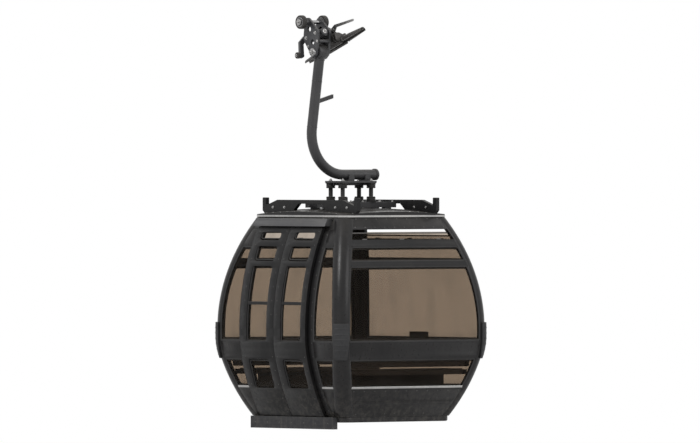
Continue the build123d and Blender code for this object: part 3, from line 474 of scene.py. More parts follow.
def surface(name, colour, other, rough, grain, bump, dust, metallic=0.0, wear=0.0,
            wear_colour=(0.42, 0.41, 0.39), wear_radius=0.003, streaks=0.0, splash=0.0,
            stretch=(1, 1, 1), specular=0.5):
    """The common finish: two tones of a colour, rain streaks, splashes near the floor, dust on top,
    worn edges and a fine grain."""
    made, tree, coords = start_material(name)
    clouds = noise(tree, coords, scale=3.2, detail=5, roughness=0.6, stretch=stretch)
    tone = blend_colour(tree, ramp(tree, clouds, *TONE_SPAN), colour, other)
    fine = noise(tree, coords, scale=34, detail=5, roughness=0.65, stretch=stretch)
    shade = [SHADE * part for part in colour]
    tone = blend_colour(tree, ramp(tree, fine, *SHADE_SPAN, high=SHADE_SHARE), tone, shade)
    rough_value = ramp(tree, fine, *ROUGH_SPAN, *rough)
    dirt = []
    if streaks:
        runs = noise(tree, coords, scale=26, detail=4, roughness=0.6, stretch=STREAK_STRETCH)
        dirt.append((ramp(tree, runs, *STREAK_SPAN, high=streaks), STREAK_DULLING))
    if splash:
        dirt.append((thrown_dirt(tree, coords, splash), DUST_DULLING))
    if dust:
        dirt.append((upward_dust(tree, coords, dust), DUST_DULLING))
    for part, dulling in dirt:
        tone = blend_colour(tree, part, tone, DUST)
        rough_value = maths(tree, "ADD", rough_value, maths(tree, "MULTIPLY", part, dulling))
    metal_value = metallic
    if wear:
        chips = edge_wear(tree, coords, wear_radius, wear)
        tone = blend_colour(tree, chips, tone, wear_colour)
        metal_value = ramp(tree, chips, 0.0, 1.0, low=metallic)
    relief = add_node(tree, "ShaderNodeBump", {
        "Strength": bump, "Distance": GRAIN_DEPTH,
        "Height": noise(tree, coords, scale=grain, detail=3, roughness=0.6, stretch=stretch)})
    shader = add_node(tree, "ShaderNodeBsdfPrincipled", {
        "Base Color": tone, "Roughness": rough_value, "Metallic": metal_value,
        "Specular IOR Level": specular, "Normal": relief.outputs["Normal"]})
    add_node(tree, "ShaderNodeOutputMaterial", {"Surface": shader.outputs["BSDF"]})
    return made


# The glass: its colour clean and under the film, the film's densest share, and the dirt at the rails
GLASS_CLEAN = (0.690, 0.642, 0.590)
GLASS_FILMED = (0.655, 0.610, 0.560)
GLASS_BODY = (0.060, 0.050, 0.040, 1)
GLASS_IOR = 1.62
GLASS_ROUGH = (0.02, 0.12)
FILM_SHARE = 0.05
RAIL_DIRT_REACH = 0.10
RAIL_DIRT_SHARE = 0.14
FILM_SPAN = (0.42, 0.80)
FILM_STRETCH = (1, 1, 0.45)
MARK_SPAN = (0.66, 0.82)
MARK_STRETCH = (1, 1, 0.06)


def rail_dirt(tree, coords, foot):
    """A value for the dirt that gathers on a pane at the rail at its foot."""
    height = upward_share(tree, coords)
    base = CABIN.z + foot
    above = ramp(tree, height, base + RAIL_DIRT_REACH, base, high=RAIL_DIRT_SHARE)
    below = ramp(tree, height, base - RAIL_DIRT_REACH, base - RAIL_DIRT_REACH / 2)
    band = maths(tree, "MULTIPLY", above, below)
    return maths(tree, "MULTIPLY", band, noise(tree, coords, scale=16, detail=6, roughness=0.7))


def smoked_glass():
    """Bronze glass that lets light through, with a faint film of dust and water marks."""
    made, tree, coords = start_material("smoked_glass")
    cloud = noise(tree, coords, scale=4, detail=6, roughness=0.65, stretch=FILM_STRETCH)
    film = ramp(tree, cloud, *FILM_SPAN, high=FILM_SHARE)
    runs = noise(tree, coords, scale=60, detail=4, roughness=0.7, stretch=MARK_STRETCH)
    marks = ramp(tree, runs, *MARK_SPAN, high=FILM_SHARE)
    for foot in (SKIRT_TOP, SILL_TOP):
        marks = maths(tree, "ADD", marks, rail_dirt(tree, coords, foot))
    fresnel = add_node(tree, "ShaderNodeFresnel", {"IOR": GLASS_IOR}).outputs["Fac"]
    inside = add_node(tree, "ShaderNodeNewGeometry").outputs["Backfacing"]
    mirror = maths(tree, "MULTIPLY", fresnel, maths(tree, "SUBTRACT", 1.0, inside))
    share = maths(tree, "ADD", maths(tree, "ADD", film, marks), mirror)
    tint = blend_colour(tree, ramp(tree, film, 0.0, FILM_SHARE), GLASS_CLEAN, GLASS_FILMED)
    through = add_node(tree, "ShaderNodeBsdfTransparent", {"Color": tint})
    body = add_node(tree, "ShaderNodeBsdfPrincipled", {
        "Base Color": GLASS_BODY, "Roughness": ramp(tree, film, 0.0, FILM_SHARE, *GLASS_ROUGH)})
    mix = add_node(tree, "ShaderNodeMixShader", {
        "Fac": share, 1: through.outputs["BSDF"], 2: body.outputs["BSDF"]})
    add_node(tree, "ShaderNodeOutputMaterial", {"Surface": mix.outputs["Shader"]})
    return made


# The finishes: two tones, and how rough, grainy, dusty, streaked, splashed and worn each is
BARE_METAL = (0.16, 0.155, 0.15)
BRUSHED = (0.06, 1, 1)
LOOKS = {
    "body_paint": dict(
        colour=(0.0105, 0.010, 0.0105), other=(0.015, 0.0142, 0.0142), rough=(0.26, 0.38), grain=420,
        bump=0.04, wear=0.35, wear_colour=BARE_METAL, dust=0.22, streaks=0.035, splash=0.16,
        specular=0.22),
    "frame_paint": dict(
        colour=(0.0075, 0.0075, 0.008), other=(0.011, 0.0105, 0.0105), rough=(0.34, 0.48), grain=520,
        bump=0.05, wear=0.45, wear_colour=BARE_METAL, dust=0.18, streaks=0.025, splash=0.16,
        specular=0.20),
    "guard_plastic": dict(
        colour=(0.017, 0.017, 0.018), other=(0.024, 0.024, 0.025), rough=(0.52, 0.66), grain=900,
        bump=0.16, wear=0.3, wear_colour=(0.07, 0.07, 0.07), wear_radius=0.004, dust=0.25,
        streaks=0.05, specular=0.3),
    "rail_aluminium": dict(
        colour=(0.085, 0.085, 0.090), other=(0.12, 0.12, 0.12), metallic=1.0, rough=(0.30, 0.46),
        grain=240, bump=0.04, stretch=BRUSHED, wear=0.4, wear_colour=(0.5, 0.5, 0.5), dust=0.4,
        streaks=0.2),
    "seat_plastic": dict(
        colour=(0.035, 0.034, 0.036), other=(0.048, 0.046, 0.048), rough=(0.42, 0.58), grain=700,
        bump=0.12, dust=0.10, specular=0.35),
    "damper_rubber": dict(
        colour=(0.016, 0.016, 0.016), other=(0.026, 0.025, 0.024), rough=(0.60, 0.78), grain=500,
        bump=0.10, dust=0.35, specular=0.35),
    "hanger_paint": dict(
        colour=(0.030, 0.030, 0.032), other=(0.044, 0.043, 0.044), metallic=0.2, rough=(0.34, 0.48),
        grain=180, bump=0.10, wear=0.5, wear_radius=0.004, dust=0.25, streaks=0.06, specular=0.4),
    "grip_paint": dict(
        colour=(0.032, 0.033, 0.036), other=(0.050, 0.050, 0.053), metallic=0.2, rough=(0.34, 0.50),
        grain=220, bump=0.10, wear=0.8, dust=0.3, streaks=0.06),
    "jaw_steel": dict(
        colour=(0.050, 0.048, 0.047), other=(0.080, 0.076, 0.073), metallic=0.8, rough=(0.36, 0.58),
        grain=120, bump=0.22, wear=0.7, dust=0.25),
    "shaft_steel": dict(
        colour=(0.30, 0.30, 0.30), other=(0.38, 0.37, 0.36), metallic=1.0, rough=(0.22, 0.40),
        grain=500, bump=0.06, wear=0.5, wear_colour=(0.6, 0.6, 0.6), dust=0.2),
    "wheel_metal": dict(
        colour=(0.24, 0.24, 0.245), other=(0.32, 0.32, 0.32), metallic=1.0, rough=(0.32, 0.50),
        grain=160, bump=0.12, wear=0.7, wear_colour=(0.55, 0.55, 0.55), dust=0.3),
    "wheel_tyre": dict(
        colour=(0.020, 0.019, 0.018), other=(0.034, 0.032, 0.030), rough=(0.55, 0.75), grain=320,
        bump=0.14, dust=0.3, specular=0.35),
    "seal_rubber": dict(
        colour=(0.014, 0.014, 0.014), other=(0.022, 0.021, 0.021), rough=(0.55, 0.70), grain=800,
        bump=0.06, dust=0.25, specular=0.35),
    "bright_steel": dict(
        colour=(0.34, 0.34, 0.335), other=(0.44, 0.43, 0.42), metallic=1.0, rough=(0.24, 0.42),
        grain=300, bump=0.08, dust=0.2),
    "dark_bolt": dict(
        colour=(0.07, 0.07, 0.07), other=(0.12, 0.115, 0.11), metallic=0.9, rough=(0.34, 0.5),
        grain=300, bump=0.1, wear=1.0, wear_radius=0.001, dust=0.3),
    "floor_rubber": dict(
        colour=(0.030, 0.030, 0.031), other=(0.046, 0.044, 0.043), rough=(0.6, 0.8), grain=420,
        bump=0.2, dust=0.55, specular=0.3),
    "sill_metal": dict(
        colour=(0.040, 0.040, 0.043), other=(0.060, 0.060, 0.061), metallic=1.0, rough=(0.34, 0.50),
        grain=240, bump=0.05, stretch=BRUSHED, wear=0.5, wear_colour=(0.4, 0.4, 0.4), dust=0.4,
        streaks=0.2, splash=0.12),
    "pane_print": dict(
        colour=(0.0045, 0.0045, 0.005), other=(0.007, 0.0068, 0.007), rough=(0.30, 0.42),
        grain=900, bump=0.03, dust=0.0, specular=0.25),
    "lamp_cover": dict(
        colour=(0.62, 0.61, 0.58), other=(0.70, 0.69, 0.66), rough=(0.32, 0.45), grain=300,
        bump=0.03, dust=0.05),
}
looks = {name: surface(name, **look) for name, look in LOOKS.items()}
looks["smoked_glass"] = smoked_glass()

# The CAD nodes: a finish for each slot, and small real radii on the edges of the rigid ones
NODE_LOOKS = {"door_sill": "sill_metal"}
EDGE_WIDTH = 0.002
SLOT_EDGE_WIDTHS = {"smoked_glass": 0.0, "wheel_tyre": 0.0, "damper_rubber": 0.0015}
EDGE_ANGLE = radians(38)
FLAT_ANGLE = radians(0.5)
WELD_DISTANCE = 1e-5
slots = {part["node"]: part["material_slot"] for part in frame["record"]["subparts"]}
for name, node in nodes.items():
    slot = slots[name]
    node.data.materials.clear()
    node.data.materials.append(looks[NODE_LOOKS.get(name, slot)])
    width = SLOT_EDGE_WIDTHS.get(slot, EDGE_WIDTH)
    if width:
        weld = node.modifiers.new("weld", "WELD")
        weld.merge_threshold = WELD_DISTANCE
        flat = node.modifiers.new("flat", "DECIMATE")
        flat.decimate_type = "DISSOLVE"
        flat.angle_limit = FLAT_ANGLE
        bevel = node.modifiers.new("bevel", "BEVEL")
        bevel.width = width
        bevel.segments = 2
        bevel.limit_method = "ANGLE"
        bevel.angle_limit = EDGE_ANGLE
        bevel.harden_normals = True

# Glazing seals, flush in the rebates round the panes, and black prints on the panes' inner faces
GLAZING = ((0.0, -0.001), (0.007, -0.0012), (0.012, -0.0035), (0.014, -0.0078), (0.0, -0.0078))
INNER_GLAZING = ((0.0, -0.0165), (0.012, -0.0165), (0.010, -0.021), (0.004, -0.024), (0.0, -0.024))
PRINT = oblong(0.002, 0.030, back=-0.0164, face=-0.0161)
PANE_R = 0.020
SIDE_PANE_R = 0.012
PRINT_R = 0.045
SIDE_PRINT_R = 0.035
DOOR_SIDE_EDGES = ((upright(JAMB_END), post_edge), (far_post, upright(-JAMB_END)))


def closed_seals(wall):
    """The seals of the three panes between two corner posts."""
    def fill(draft):
        for low, high in CLOSED_BANDS:
            for section in (GLAZING, INNER_GLAZING):
                wall_seal(draft, wall, low, high, far_post, post_edge, section, PANE_R)
    return fill


def side_pane_seals(draft):
    """The seals of the panes beside the doors."""
    for low, high in DOOR_SIDE_BANDS:
        for section in (GLAZING, INNER_GLAZING):
            for left, right in DOOR_SIDE_EDGES:
                wall_seal(draft, "door", low, high, left, right, section, SIDE_PANE_R)


def wall_prints(draft):
    """The prints on every fixed pane."""
    for wall in CLOSED:
        for low, high in CLOSED_BANDS:
            wall_seal(draft, wall, low, high, far_post, post_edge, PRINT, PRINT_R)
    for low, high in DOOR_SIDE_BANDS:
        for left, right in DOOR_SIDE_EDGES:
            wall_seal(draft, "door", low, high, left, right, PRINT, SIDE_PRINT_R)


for wall in CLOSED:
    piece(f"glazing_seals_{wall}", "cabin", "seal_rubber", closed_seals(wall))
piece("glazing_seals_door_side", "cabin", "seal_rubber", side_pane_seals)
piece("pane_prints", "cabin", "pane_print", wall_prints)

# The leaves: seals and prints of their panes
LEAF_GLAZING = ((0.0, 0.0283), (0.0, 0.0345), (0.005, 0.036), (0.010, 0.0335), (0.012, 0.0283))
LEAF_INNER = ((0.0, 0.0197), (0.011, 0.0197), (0.008, 0.014), (0.0, 0.013))
LEAF_PRINT = oblong(0.002, 0.022, back=0.0196, face=0.0199)


def leaf_span(side, start, end):
    """Two distances from the leaves' meeting line, as places across the wall from lower to higher X."""
    return sorted((side * start, side * end))


def leaf_frames(side, bands, sections):
    """Seals or prints round the panes of a leaf."""
    def fill(draft):
        left, right = leaf_span(side, LEAF_PANE_START, LEAF_PANE_END)
        for low, high in bands:
            for section in sections:
                wall_seal(draft, "door", low, high, upright(left), upright(right), section, LEAF_PANE_R)
    return fill


# The leaves: a guard bar across the main pane
LEAF_BAR_HEIGHT = 1.207
LEAF_BAR_GAP = 0.002
LEAF_BAR_HALF = 0.016
LEAF_BAR_BACK = 0.030
LEAF_BAR_FACE = 0.0415
LEAF_BAR_CHAMFER = 0.003
LEAF_BAR = (
    (-LEAF_BAR_HALF, LEAF_BAR_BACK),
    (-LEAF_BAR_HALF, LEAF_BAR_FACE - LEAF_BAR_CHAMFER),
    (-LEAF_BAR_HALF + LEAF_BAR_CHAMFER, LEAF_BAR_FACE),
    (LEAF_BAR_HALF - LEAF_BAR_CHAMFER, LEAF_BAR_FACE),
    (LEAF_BAR_HALF, LEAF_BAR_FACE - LEAF_BAR_CHAMFER),
    (LEAF_BAR_HALF, LEAF_BAR_BACK),
)


def leaf_bar(side):
    """The bar, let into the leaf's uprights."""
    def fill(draft):
        start, end = leaf_span(side, LEAF_PANE_START + LEAF_BAR_GAP, LEAF_PANE_END - LEAF_BAR_GAP)
        wall_band(draft, "door", LEAF_BAR_HEIGHT, start, end, LEAF_BAR, steps=1)
    return fill


# The leaves: the rubber on the meeting edges
LEAF_EDGE = ((0.003, 0.012), (0.0004, 0.015), (0.0004, 0.036), (0.003, 0.039))
LEAF_EDGE_GAP = 0.004


def leaf_edge(side):
    """A rubber bulb from the leaf's foot to its top."""
    def fill(draft):
        wall_upright(draft, "door", 0.0, LEAF_LOW + LEAF_EDGE_GAP, LEAF_TOP - LEAF_EDGE_GAP,
                     sided(LEAF_EDGE, side), steps=60)
    return fill


# The leaves: screws, with none near the belt
LEAF_SCREW = 0.005
LEAF_SCREW_LINES = (0.040, 0.464)
LEAF_SCREW_HEIGHTS = spaced(0.12, 0.139, 14)
BELT_CLEARANCE = 0.10


def leaf_screws(side):
    """Screws along both uprights of the leaf's frame."""
    def fill(draft):
        for across in LEAF_SCREW_LINES:
            for height in LEAF_SCREW_HEIGHTS:
                if BELT_LOW - BELT_CLEARANCE < height < BELT_HIGH + BELT_CLEARANCE:
                    continue
                place, _, _, normal = wall_frame("door", side * across, height, LEAF_FACE)
                rivet(draft, place, normal, LEAF_SCREW)
    return fill


for side, body in ((1, "door_front"), (-1, "door_rear")):
    piece(f"{body}_seals", body, "seal_rubber",
          leaf_frames(side, LEAF_BANDS, (LEAF_GLAZING, LEAF_INNER)))
    piece(f"{body}_prints", body, "pane_print",
          leaf_frames(side, CLOSED_BANDS, (LEAF_PRINT,)))
    piece(f"{body}_bars", body, "frame_paint", leaf_bar(side))
    piece(f"{body}_edge", body, "seal_rubber", leaf_edge(side))
    piece(f"{body}_fittings", body, "dark_bolt", leaf_screws(side))

# Bright trims on top of the lower panels
TRIM = ((0.0, -0.0078), (0.0, -0.0006), (0.018, -0.0006), (0.021, -0.003), (0.021, -0.0078))
TRIM_GAP = 0.001


def trims(draft):
    """A trim from post to post on the closed walls, and from jamb to post beside the doors."""
    reach = post_edge(SKIRT_TOP) - TRIM_GAP
    for wall in CLOSED:
        wall_band(draft, wall, SKIRT_TOP, -reach, reach, TRIM)
    for side in (-1, 1):
        start, end = leaf_span(side, JAMB_END + TRIM_GAP, reach)
        wall_band(draft, "door", SKIRT_TOP, start, end, TRIM)


piece("skirt_trims", "cabin", "bright_steel", trims)

# Rivets of the walls' panels and of the jambs
PANEL_RIVET = 0.006
PANEL_RIVET_ROWS = (0.085, 0.318, 1.985, 2.070)
PANEL_RIVET_INSET = 0.03
PANEL_RIVET_STEP = 0.13
JAMB_RIVET = 0.005
JAMB_RIVET_INSET = 0.022
JAMB_RIVET_HEIGHTS = spaced(0.12, 0.138, 14)


def wall_rivets(draft):
    """Level rows on the closed walls and an upright row on each jamb."""
    for wall in CLOSED:
        for height in PANEL_RIVET_ROWS:
            reach = post_edge(height) - PANEL_RIVET_INSET
            for across in spread(-reach, reach, int(2 * reach / PANEL_RIVET_STEP)):
                place, _, _, normal = wall_frame(wall, across, height)
                rivet(draft, place, normal, PANEL_RIVET)
    for side in (-1, 1):
        for height in JAMB_RIVET_HEIGHTS:
            place, _, _, normal = wall_frame("door", side * (JAMB_END - JAMB_RIVET_INSET), height)
            rivet(draft, place, normal, JAMB_RIVET)


piece("wall_rivets", "cabin", "dark_bolt", wall_rivets)

# Edge strips and hinges of the vent flaps
VENT_BACK = 0.022
VENT_T = 0.006
VENT_SLOTS = {"front": 0.026, "rear": 0.026, "inboard": 0.060}
VENT_LIP_T = 0.003
VENT_LIP = oblong(-0.006, 0.004, back=-VENT_BACK - VENT_T - VENT_LIP_T, face=-VENT_BACK + VENT_LIP_T)
VENT_LIP_GAP = 0.002
VENT_HINGE = oblong(0.0, 0.016, back=-VENT_BACK - 0.004, face=-VENT_BACK + 0.006)
VENT_HINGE_HALF = 0.03
VENT_HINGE_PLACES = (-0.5, 0.0, 0.5)


def vent_fittings(draft):
    """A strip along each flap's upper edge and three hinges at its foot."""
    for wall in CLOSED:
        top = HEADER_LOW - VENT_SLOTS[wall]
        reach = post_edge(top) - VENT_LIP_GAP
        wall_band(draft, wall, top, -reach, reach, VENT_LIP)
        for across in VENT_HINGE_PLACES:
            wall_band(draft, wall, BAR_TOP, across - VENT_HINGE_HALF, across + VENT_HINGE_HALF, VENT_HINGE,
                      steps=1)


piece("vent_fittings", "cabin", "dark_bolt", vent_fittings)

# Lips between the jambs and the leaves
JAMB_LIP = ((0.0, 0.0), (0.0, 0.0066), (0.004, 0.0076), (0.014, 0.006), (0.014, 0.0))
JAMB_LIP_GAP = 0.004
JAMB_LIP_LOW = 0.11
JAMB_LIP_TOP = HEADER_LOW - 0.01


def jamb_lips(draft):
    """A soft lip along each side of the doorway."""
    for side in (-1, 1):
        wall_upright(draft, "door", side * (DOORWAY_HALF + JAMB_LIP_GAP), JAMB_LIP_LOW, JAMB_LIP_TOP,
                     sided(JAMB_LIP, side), steps=48)


piece("jamb_lips", "cabin", "seal_rubber", jamb_lips)

# Fastenings of the door track and the sill
RAIL_RIVET = 0.007
TRACK_OUT = 0.076
TRACK_MIDDLE = 2.035
TRACK_RIVETS = spaced(-0.50, 0.125, 9)
SILL_RIVETS = spaced(-0.57, 0.19, 7)
SILL_RIVET_RISE = 0.060
sill_low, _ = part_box("door_sill")


def door_rail_bolts(draft):
    """Rivets along the track over the doors and along the sill's outer face."""
    for across in TRACK_RIVETS:
        place, _, _, normal = wall_frame("door", across, TRACK_MIDDLE, TRACK_OUT)
        rivet(draft, place, normal, RAIL_RIVET)
    for across in SILL_RIVETS:
        rivet(draft, Vector((CABIN.x + across, sill_low.y, sill_low.z + SILL_RIVET_RISE)), -Y, RAIL_RIVET)


piece("door_rail_bolts", "cabin", "dark_bolt", door_rail_bolts)

# Ribs of the threshold
THRESHOLD_HALF = 0.452
THRESHOLD_RIB = 0.005
THRESHOLD_LOW, THRESHOLD_TOP = FLOOR_TOP - 0.001, FLOOR_TOP + 0.003
THRESHOLD_STARTS = spaced(0.008, 0.010, 4)


def threshold_ribs(draft):
    """Ribs across the doorway, from the wall inward."""
    half, _ = wall_curve(FLOOR_TOP)
    for start in THRESHOLD_STARTS:
        near = start - half
        cabin_block(draft, (-THRESHOLD_HALF, THRESHOLD_HALF), (near, near + THRESHOLD_RIB),
                    (THRESHOLD_LOW, THRESHOLD_TOP), edge=0.001)


piece("threshold_ribs", "cabin", "bright_steel", threshold_ribs)

# Floor mat with its ribs
MAT_HALF_X, MAT_HALF_Y = 0.46, 0.70
MAT_TOP = FLOOR_TOP + 0.004
MAT_RIBS = spread(-0.44, 0.44, 35)
MAT_RIB_HALF = 0.005
MAT_RIB_INSET = 0.02
MAT_RIB_LOW, MAT_RIB_TOP = FLOOR_TOP + 0.0035, FLOOR_TOP + 0.008


def floor_mat(draft):
    """A flat mat over the aisle with ribs across the line of travel."""
    cabin_block(draft, (-MAT_HALF_X, MAT_HALF_X), (-MAT_HALF_Y, MAT_HALF_Y),
                (FLOOR_TOP, MAT_TOP), edge=0.001)
    rib_y = MAT_HALF_Y - MAT_RIB_INSET
    for across in MAT_RIBS:
        cabin_block(draft, (across - MAT_RIB_HALF, across + MAT_RIB_HALF), (-rib_y, rib_y),
                    (MAT_RIB_LOW, MAT_RIB_TOP), edge=0.0015)


piece("floor_mat", "cabin", "floor_rubber", floor_mat)

# Slats of the seats and of their backs
SEAT_TOP = 0.530
SEAT_HALF = 0.77
SEAT_SLATS = spaced(0.494, 0.092, 4)
SEAT_SLAT_WIDTH = 0.080
SEAT_SLAT_LOW, SEAT_SLAT_TOP = SEAT_TOP - 0.004, SEAT_TOP + 0.009
BACK_HALF = 0.79
BACK_SLAT_HEIGHTS = (0.600, 0.690, 0.780)
BACK_SLAT = ((-0.036, -0.0745), (-0.036, -0.082), (-0.030, -0.087), (0.030, -0.087), (0.036, -0.082),
             (0.036, -0.0745))


def seat_slats(side, wall):
    """Slats along a bench and on the wall behind it."""
    def fill(draft):
        for start in SEAT_SLATS:
            cabin_block(draft, (side * start, side * (start + SEAT_SLAT_WIDTH)), (-SEAT_HALF, SEAT_HALF),
                        (SEAT_SLAT_LOW, SEAT_SLAT_TOP), edge=0.004)
        for height in BACK_SLAT_HEIGHTS:
            wall_band(draft, wall, height, -BACK_HALF, BACK_HALF, BACK_SLAT)
    return fill


for side, wall in ((1, "front"), (-1, "rear")):
    piece(f"seat_slats_{wall}", "cabin", "seat_plastic", seat_slats(side, wall))

# The ceiling's lamp
LAMP_HALF_X, LAMP_HALF_Y = 0.35, 0.05
LAMP_LOW, LAMP_TOP = ROOF_EDGE - 0.028, ROOF_EDGE - 0.001


def ceiling_lamp(draft):
    """A long flat cover under the roof."""
    cabin_block(draft, (-LAMP_HALF_X, LAMP_HALF_X), (-LAMP_HALF_Y, LAMP_HALF_Y), (LAMP_LOW, LAMP_TOP),
                edge=0.008)


piece("ceiling_lamp", "cabin", "lamp_cover", ceiling_lamp)

# Ribs on the corner guards
GUARD_T = 0.020
GUARD_RIB_HEIGHTS = spaced(0.68, 0.055, 6)
GUARD_RIB_TURNS = [radians(degrees) for degrees in spread(15, 75, 12)]
GUARD_RIB_HALF = 0.009
GUARD_RIB_OUT = 0.0035
GUARD_RIB_SIDES = 8
GUARD_RIB_SINK = 0.001


def guard_ribs(draft):
    """Flat round ribs that bend round each guard."""
    reach = CORNER_R + GUARD_T
    for side_x in (-1, 1):
        for side_y in (-1, 1):
            for height in GUARD_RIB_HEIGHTS:
                half, _ = wall_curve(height, -GUARD_T)
                middle = CABIN + Vector((side_x * (half - reach), side_y * (half - reach), height))
                rings = []
                for turn in GUARD_RIB_TURNS:
                    radial = Vector((side_x * cos(turn), side_y * sin(turn), 0))
                    centre = middle + radial * (reach - GUARD_RIB_SINK)
                    rings.append([
                        draft.verts.new(centre + Z * (GUARD_RIB_HALF * cos(angle))
                                        + radial * (GUARD_RIB_OUT * sin(angle)))
                        for angle in around(GUARD_RIB_SIDES)
                    ])
                skin(draft, rings)


piece("guard_ribs", "cabin", "guard_plastic", guard_ribs)

# The trim round the roof's edge
ROOF_OVERHANG = 0.010
ROOF_HALF = wall_curve(ROOF_EDGE)[0] + ROOF_OVERHANG
ROOF_TRIM = ((-0.007, -0.004), (0.0015, -0.004), (0.003, -0.002), (0.003, 0.014), (0.0015, 0.016),
             (-0.001, 0.016), (-0.001, -0.0005), (-0.007, -0.0005))


def rounded_square(half, corner, steps):
    """Points round a square with rounded corners."""
    points = []
    for start in around(4):
        middle = start + pi / 4
        centre = Vector((cos(middle), sin(middle))) * sqrt(2) * (half - corner)
        points += [centre + Vector((cos(angle), sin(angle))) * corner
                   for angle in spread(start, start + pi / 2, steps)]
    return points


def roof_trim(draft):
    """A bright cap over the joint of roof and walls."""
    points = rounded_square(ROOF_HALF, CORNER_R, steps=8)
    stations = [
        (CABIN + Vector((point.x, point.y, ROOF_EDGE)), Vector((run.y, -run.x, 0)), Z)
        for point, run in zip(points, loop_runs(points))
    ]
    sweep(draft, stations, ROOF_TRIM, closed=True)


piece("roof_trim", "cabin", "bright_steel", roof_trim)

# Fastenings of the roof, its rails and the bearing frame
DAMPER_X, DAMPER_Y = 0.094, 0.191
RAIL_Y = 0.531
RAIL_T = 0.045
RAIL_BOLT = 0.010
RAIL_BOLT_PLACES = (-0.58, -0.40, 0.40, 0.58)
RAIL_BOLT_HEIGHT = 2.185
FRAME_NUT = 0.011
FRAME_NUT_PLACES = (-0.48, -0.30, -0.08, 0.08, 0.30, 0.48)
FRAME_NUT_HEIGHT = 2.240
ROOF_RIVET = 0.007
ROOF_RIVET_INSET = 0.045
ROOF_RIVETS = spaced(-0.55, 0.11, 11)
DOME_RISE = 0.085
DOME_R = 7.700


def dome_height(x, y):
    """Height of the roof's dome above the pan."""
    return ROOF_EDGE + DOME_RISE - DOME_R + sqrt(DOME_R ** 2 - x ** 2 - y ** 2)


def roof_bolts(draft):
    """Bolts through the rails, nuts on the bearing frame and rivets along the roof's edge."""
    for side in (-1, 1):
        for x in RAIL_BOLT_PLACES:
            for face in (1, -1):
                y = side * (RAIL_Y + face * RAIL_T / 2)
                hex_bolt(draft, CABIN + Vector((x, y, RAIL_BOLT_HEIGHT)), Y * (side * face), RAIL_BOLT)
    for x in (-DAMPER_X, DAMPER_X):
        for y in FRAME_NUT_PLACES:
            stud_nut(draft, CABIN + Vector((x, y, FRAME_NUT_HEIGHT)), Z, FRAME_NUT)
    for side in (-1, 1):
        edge = side * (ROOF_HALF - ROOF_RIVET_INSET)
        for along in ROOF_RIVETS:
            for x, y in ((along, edge), (edge, along)):
                rivet(draft, CABIN + Vector((x, y, dome_height(x, y))), Z, ROOF_RIVET)


piece("roof_bolts", "cabin", "bright_steel", roof_bolts)

# Rubber bellows and nuts of the dampers, and the hanger head's bolts
damper_low, damper_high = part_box("dampers")
BELLOW_R = 0.041
BELLOW_T = 0.0065
BELLOW_RISES = spaced(0.018, 0.014, 3)
HEAD_PLATE_T = 0.020
HEAD_TOP = damper_high.z + HEAD_PLATE_T
DAMPER_NUT = 0.016
HEAD_BOLT = 0.009
HEAD_BOLT_X = 0.112
HEAD_BOLT_Y = (0.02, 0.21, 0.40)


def bellows(draft):
    """Three rings at both ends of each damper."""
    for x in (-DAMPER_X, DAMPER_X):
        for y in (-DAMPER_Y, DAMPER_Y):
            for level, way in ((damper_low.z, 1), (damper_high.z, -1)):
                for rise in BELLOW_RISES:
                    place = Vector((x, CABIN.y + y, level + way * rise))
                    ring(draft, place, Z, BELLOW_R, BELLOW_T, sides=28)


def damper_nuts(draft):
    """A nut over each damper and bolts along the head's plate."""
    for x in (-DAMPER_X, DAMPER_X):
        for y in (-DAMPER_Y, DAMPER_Y):
            stud_nut(draft, Vector((x, CABIN.y + y, HEAD_TOP)), Z, DAMPER_NUT)
    for x in (-HEAD_BOLT_X, HEAD_BOLT_X):
        for y in HEAD_BOLT_Y:
            hex_bolt(draft, Vector((x, y, HEAD_TOP)), Z, HEAD_BOLT)


piece("damper_bellows", "cabin", "damper_rubber", bellows)
piece("damper_nuts", "cabin", "bright_steel", damper_nuts)

# Weld beads on the hanger: distances from the pivot down the arm, and how far they stand out
arm_low, arm_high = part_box("hanger_arm")
ARM_R = 0.052
ARM_LEAN = radians(8)
CAP_R = 0.060
CAP_WELD_INSET = 0.0265
RUN_DOWN = Vector((0, -sin(ARM_LEAN), -cos(ARM_LEAN)))
CAP_WELD = Vector((0, arm_high.y - CAP_WELD_INSET, arm_low.z + CAP_R))
EYE_WELD = 0.079
SEAM_WELDS = (0.30, 0.77)
END_BEAD_T, END_BEAD_OUT = 0.005, 0.001
SEAM_BEAD_T, SEAM_BEAD_OUT = 0.003, 0.0005


def weld_beads(draft):
    """Beads at the eye and at the cap of the arm's end, and two seams on its straight run."""
    for place, way in ((PIVOT + RUN_DOWN * EYE_WELD, RUN_DOWN), (CAP_WELD, Y)):
        ring(draft, place, way, ARM_R + END_BEAD_OUT, END_BEAD_T)
    for down in SEAM_WELDS:
        ring(draft, PIVOT + RUN_DOWN * down, RUN_DOWN, ARM_R + SEAM_BEAD_OUT, SEAM_BEAD_T)


piece("arm_welds", "cabin", "hanger_paint", weld_beads)

# Places on the grip: distances across the rope, and the way that a face there looks
CHEEK_INSIDE, CHEEK_OUTSIDE = -0.115, -0.295
CHEEK_FACES = ((CHEEK_INSIDE, 1), (CHEEK_OUTSIDE, -1))
AXLE_ENDS = ((-0.045, 1), (-0.415, -1))
AXLE_WELD_ACROSS = -0.2952
JAW_BOLT_ACROSS = -0.064
LINK_ACROSS = -0.080
TIE_WELDS_ACROSS = (-0.139, -0.271)

# Places on the grip: distances along the rope and square to it
BOLT_ALONG = 0.075
BARREL_END = 0.125
LINK_ENDS = ((-0.178, -1), (0.072, 1))
TIE_RISE = 0.030
JAW_BOLT_RISE = 0.092
BARREL_RISE = 0.120
LINK_RISE = 0.150
AXLE_RISE = 0.265
ROLLER_END = grip_point(-0.155, -0.412, -0.040)
PIVOT_END = PIVOT - Y * 0.108

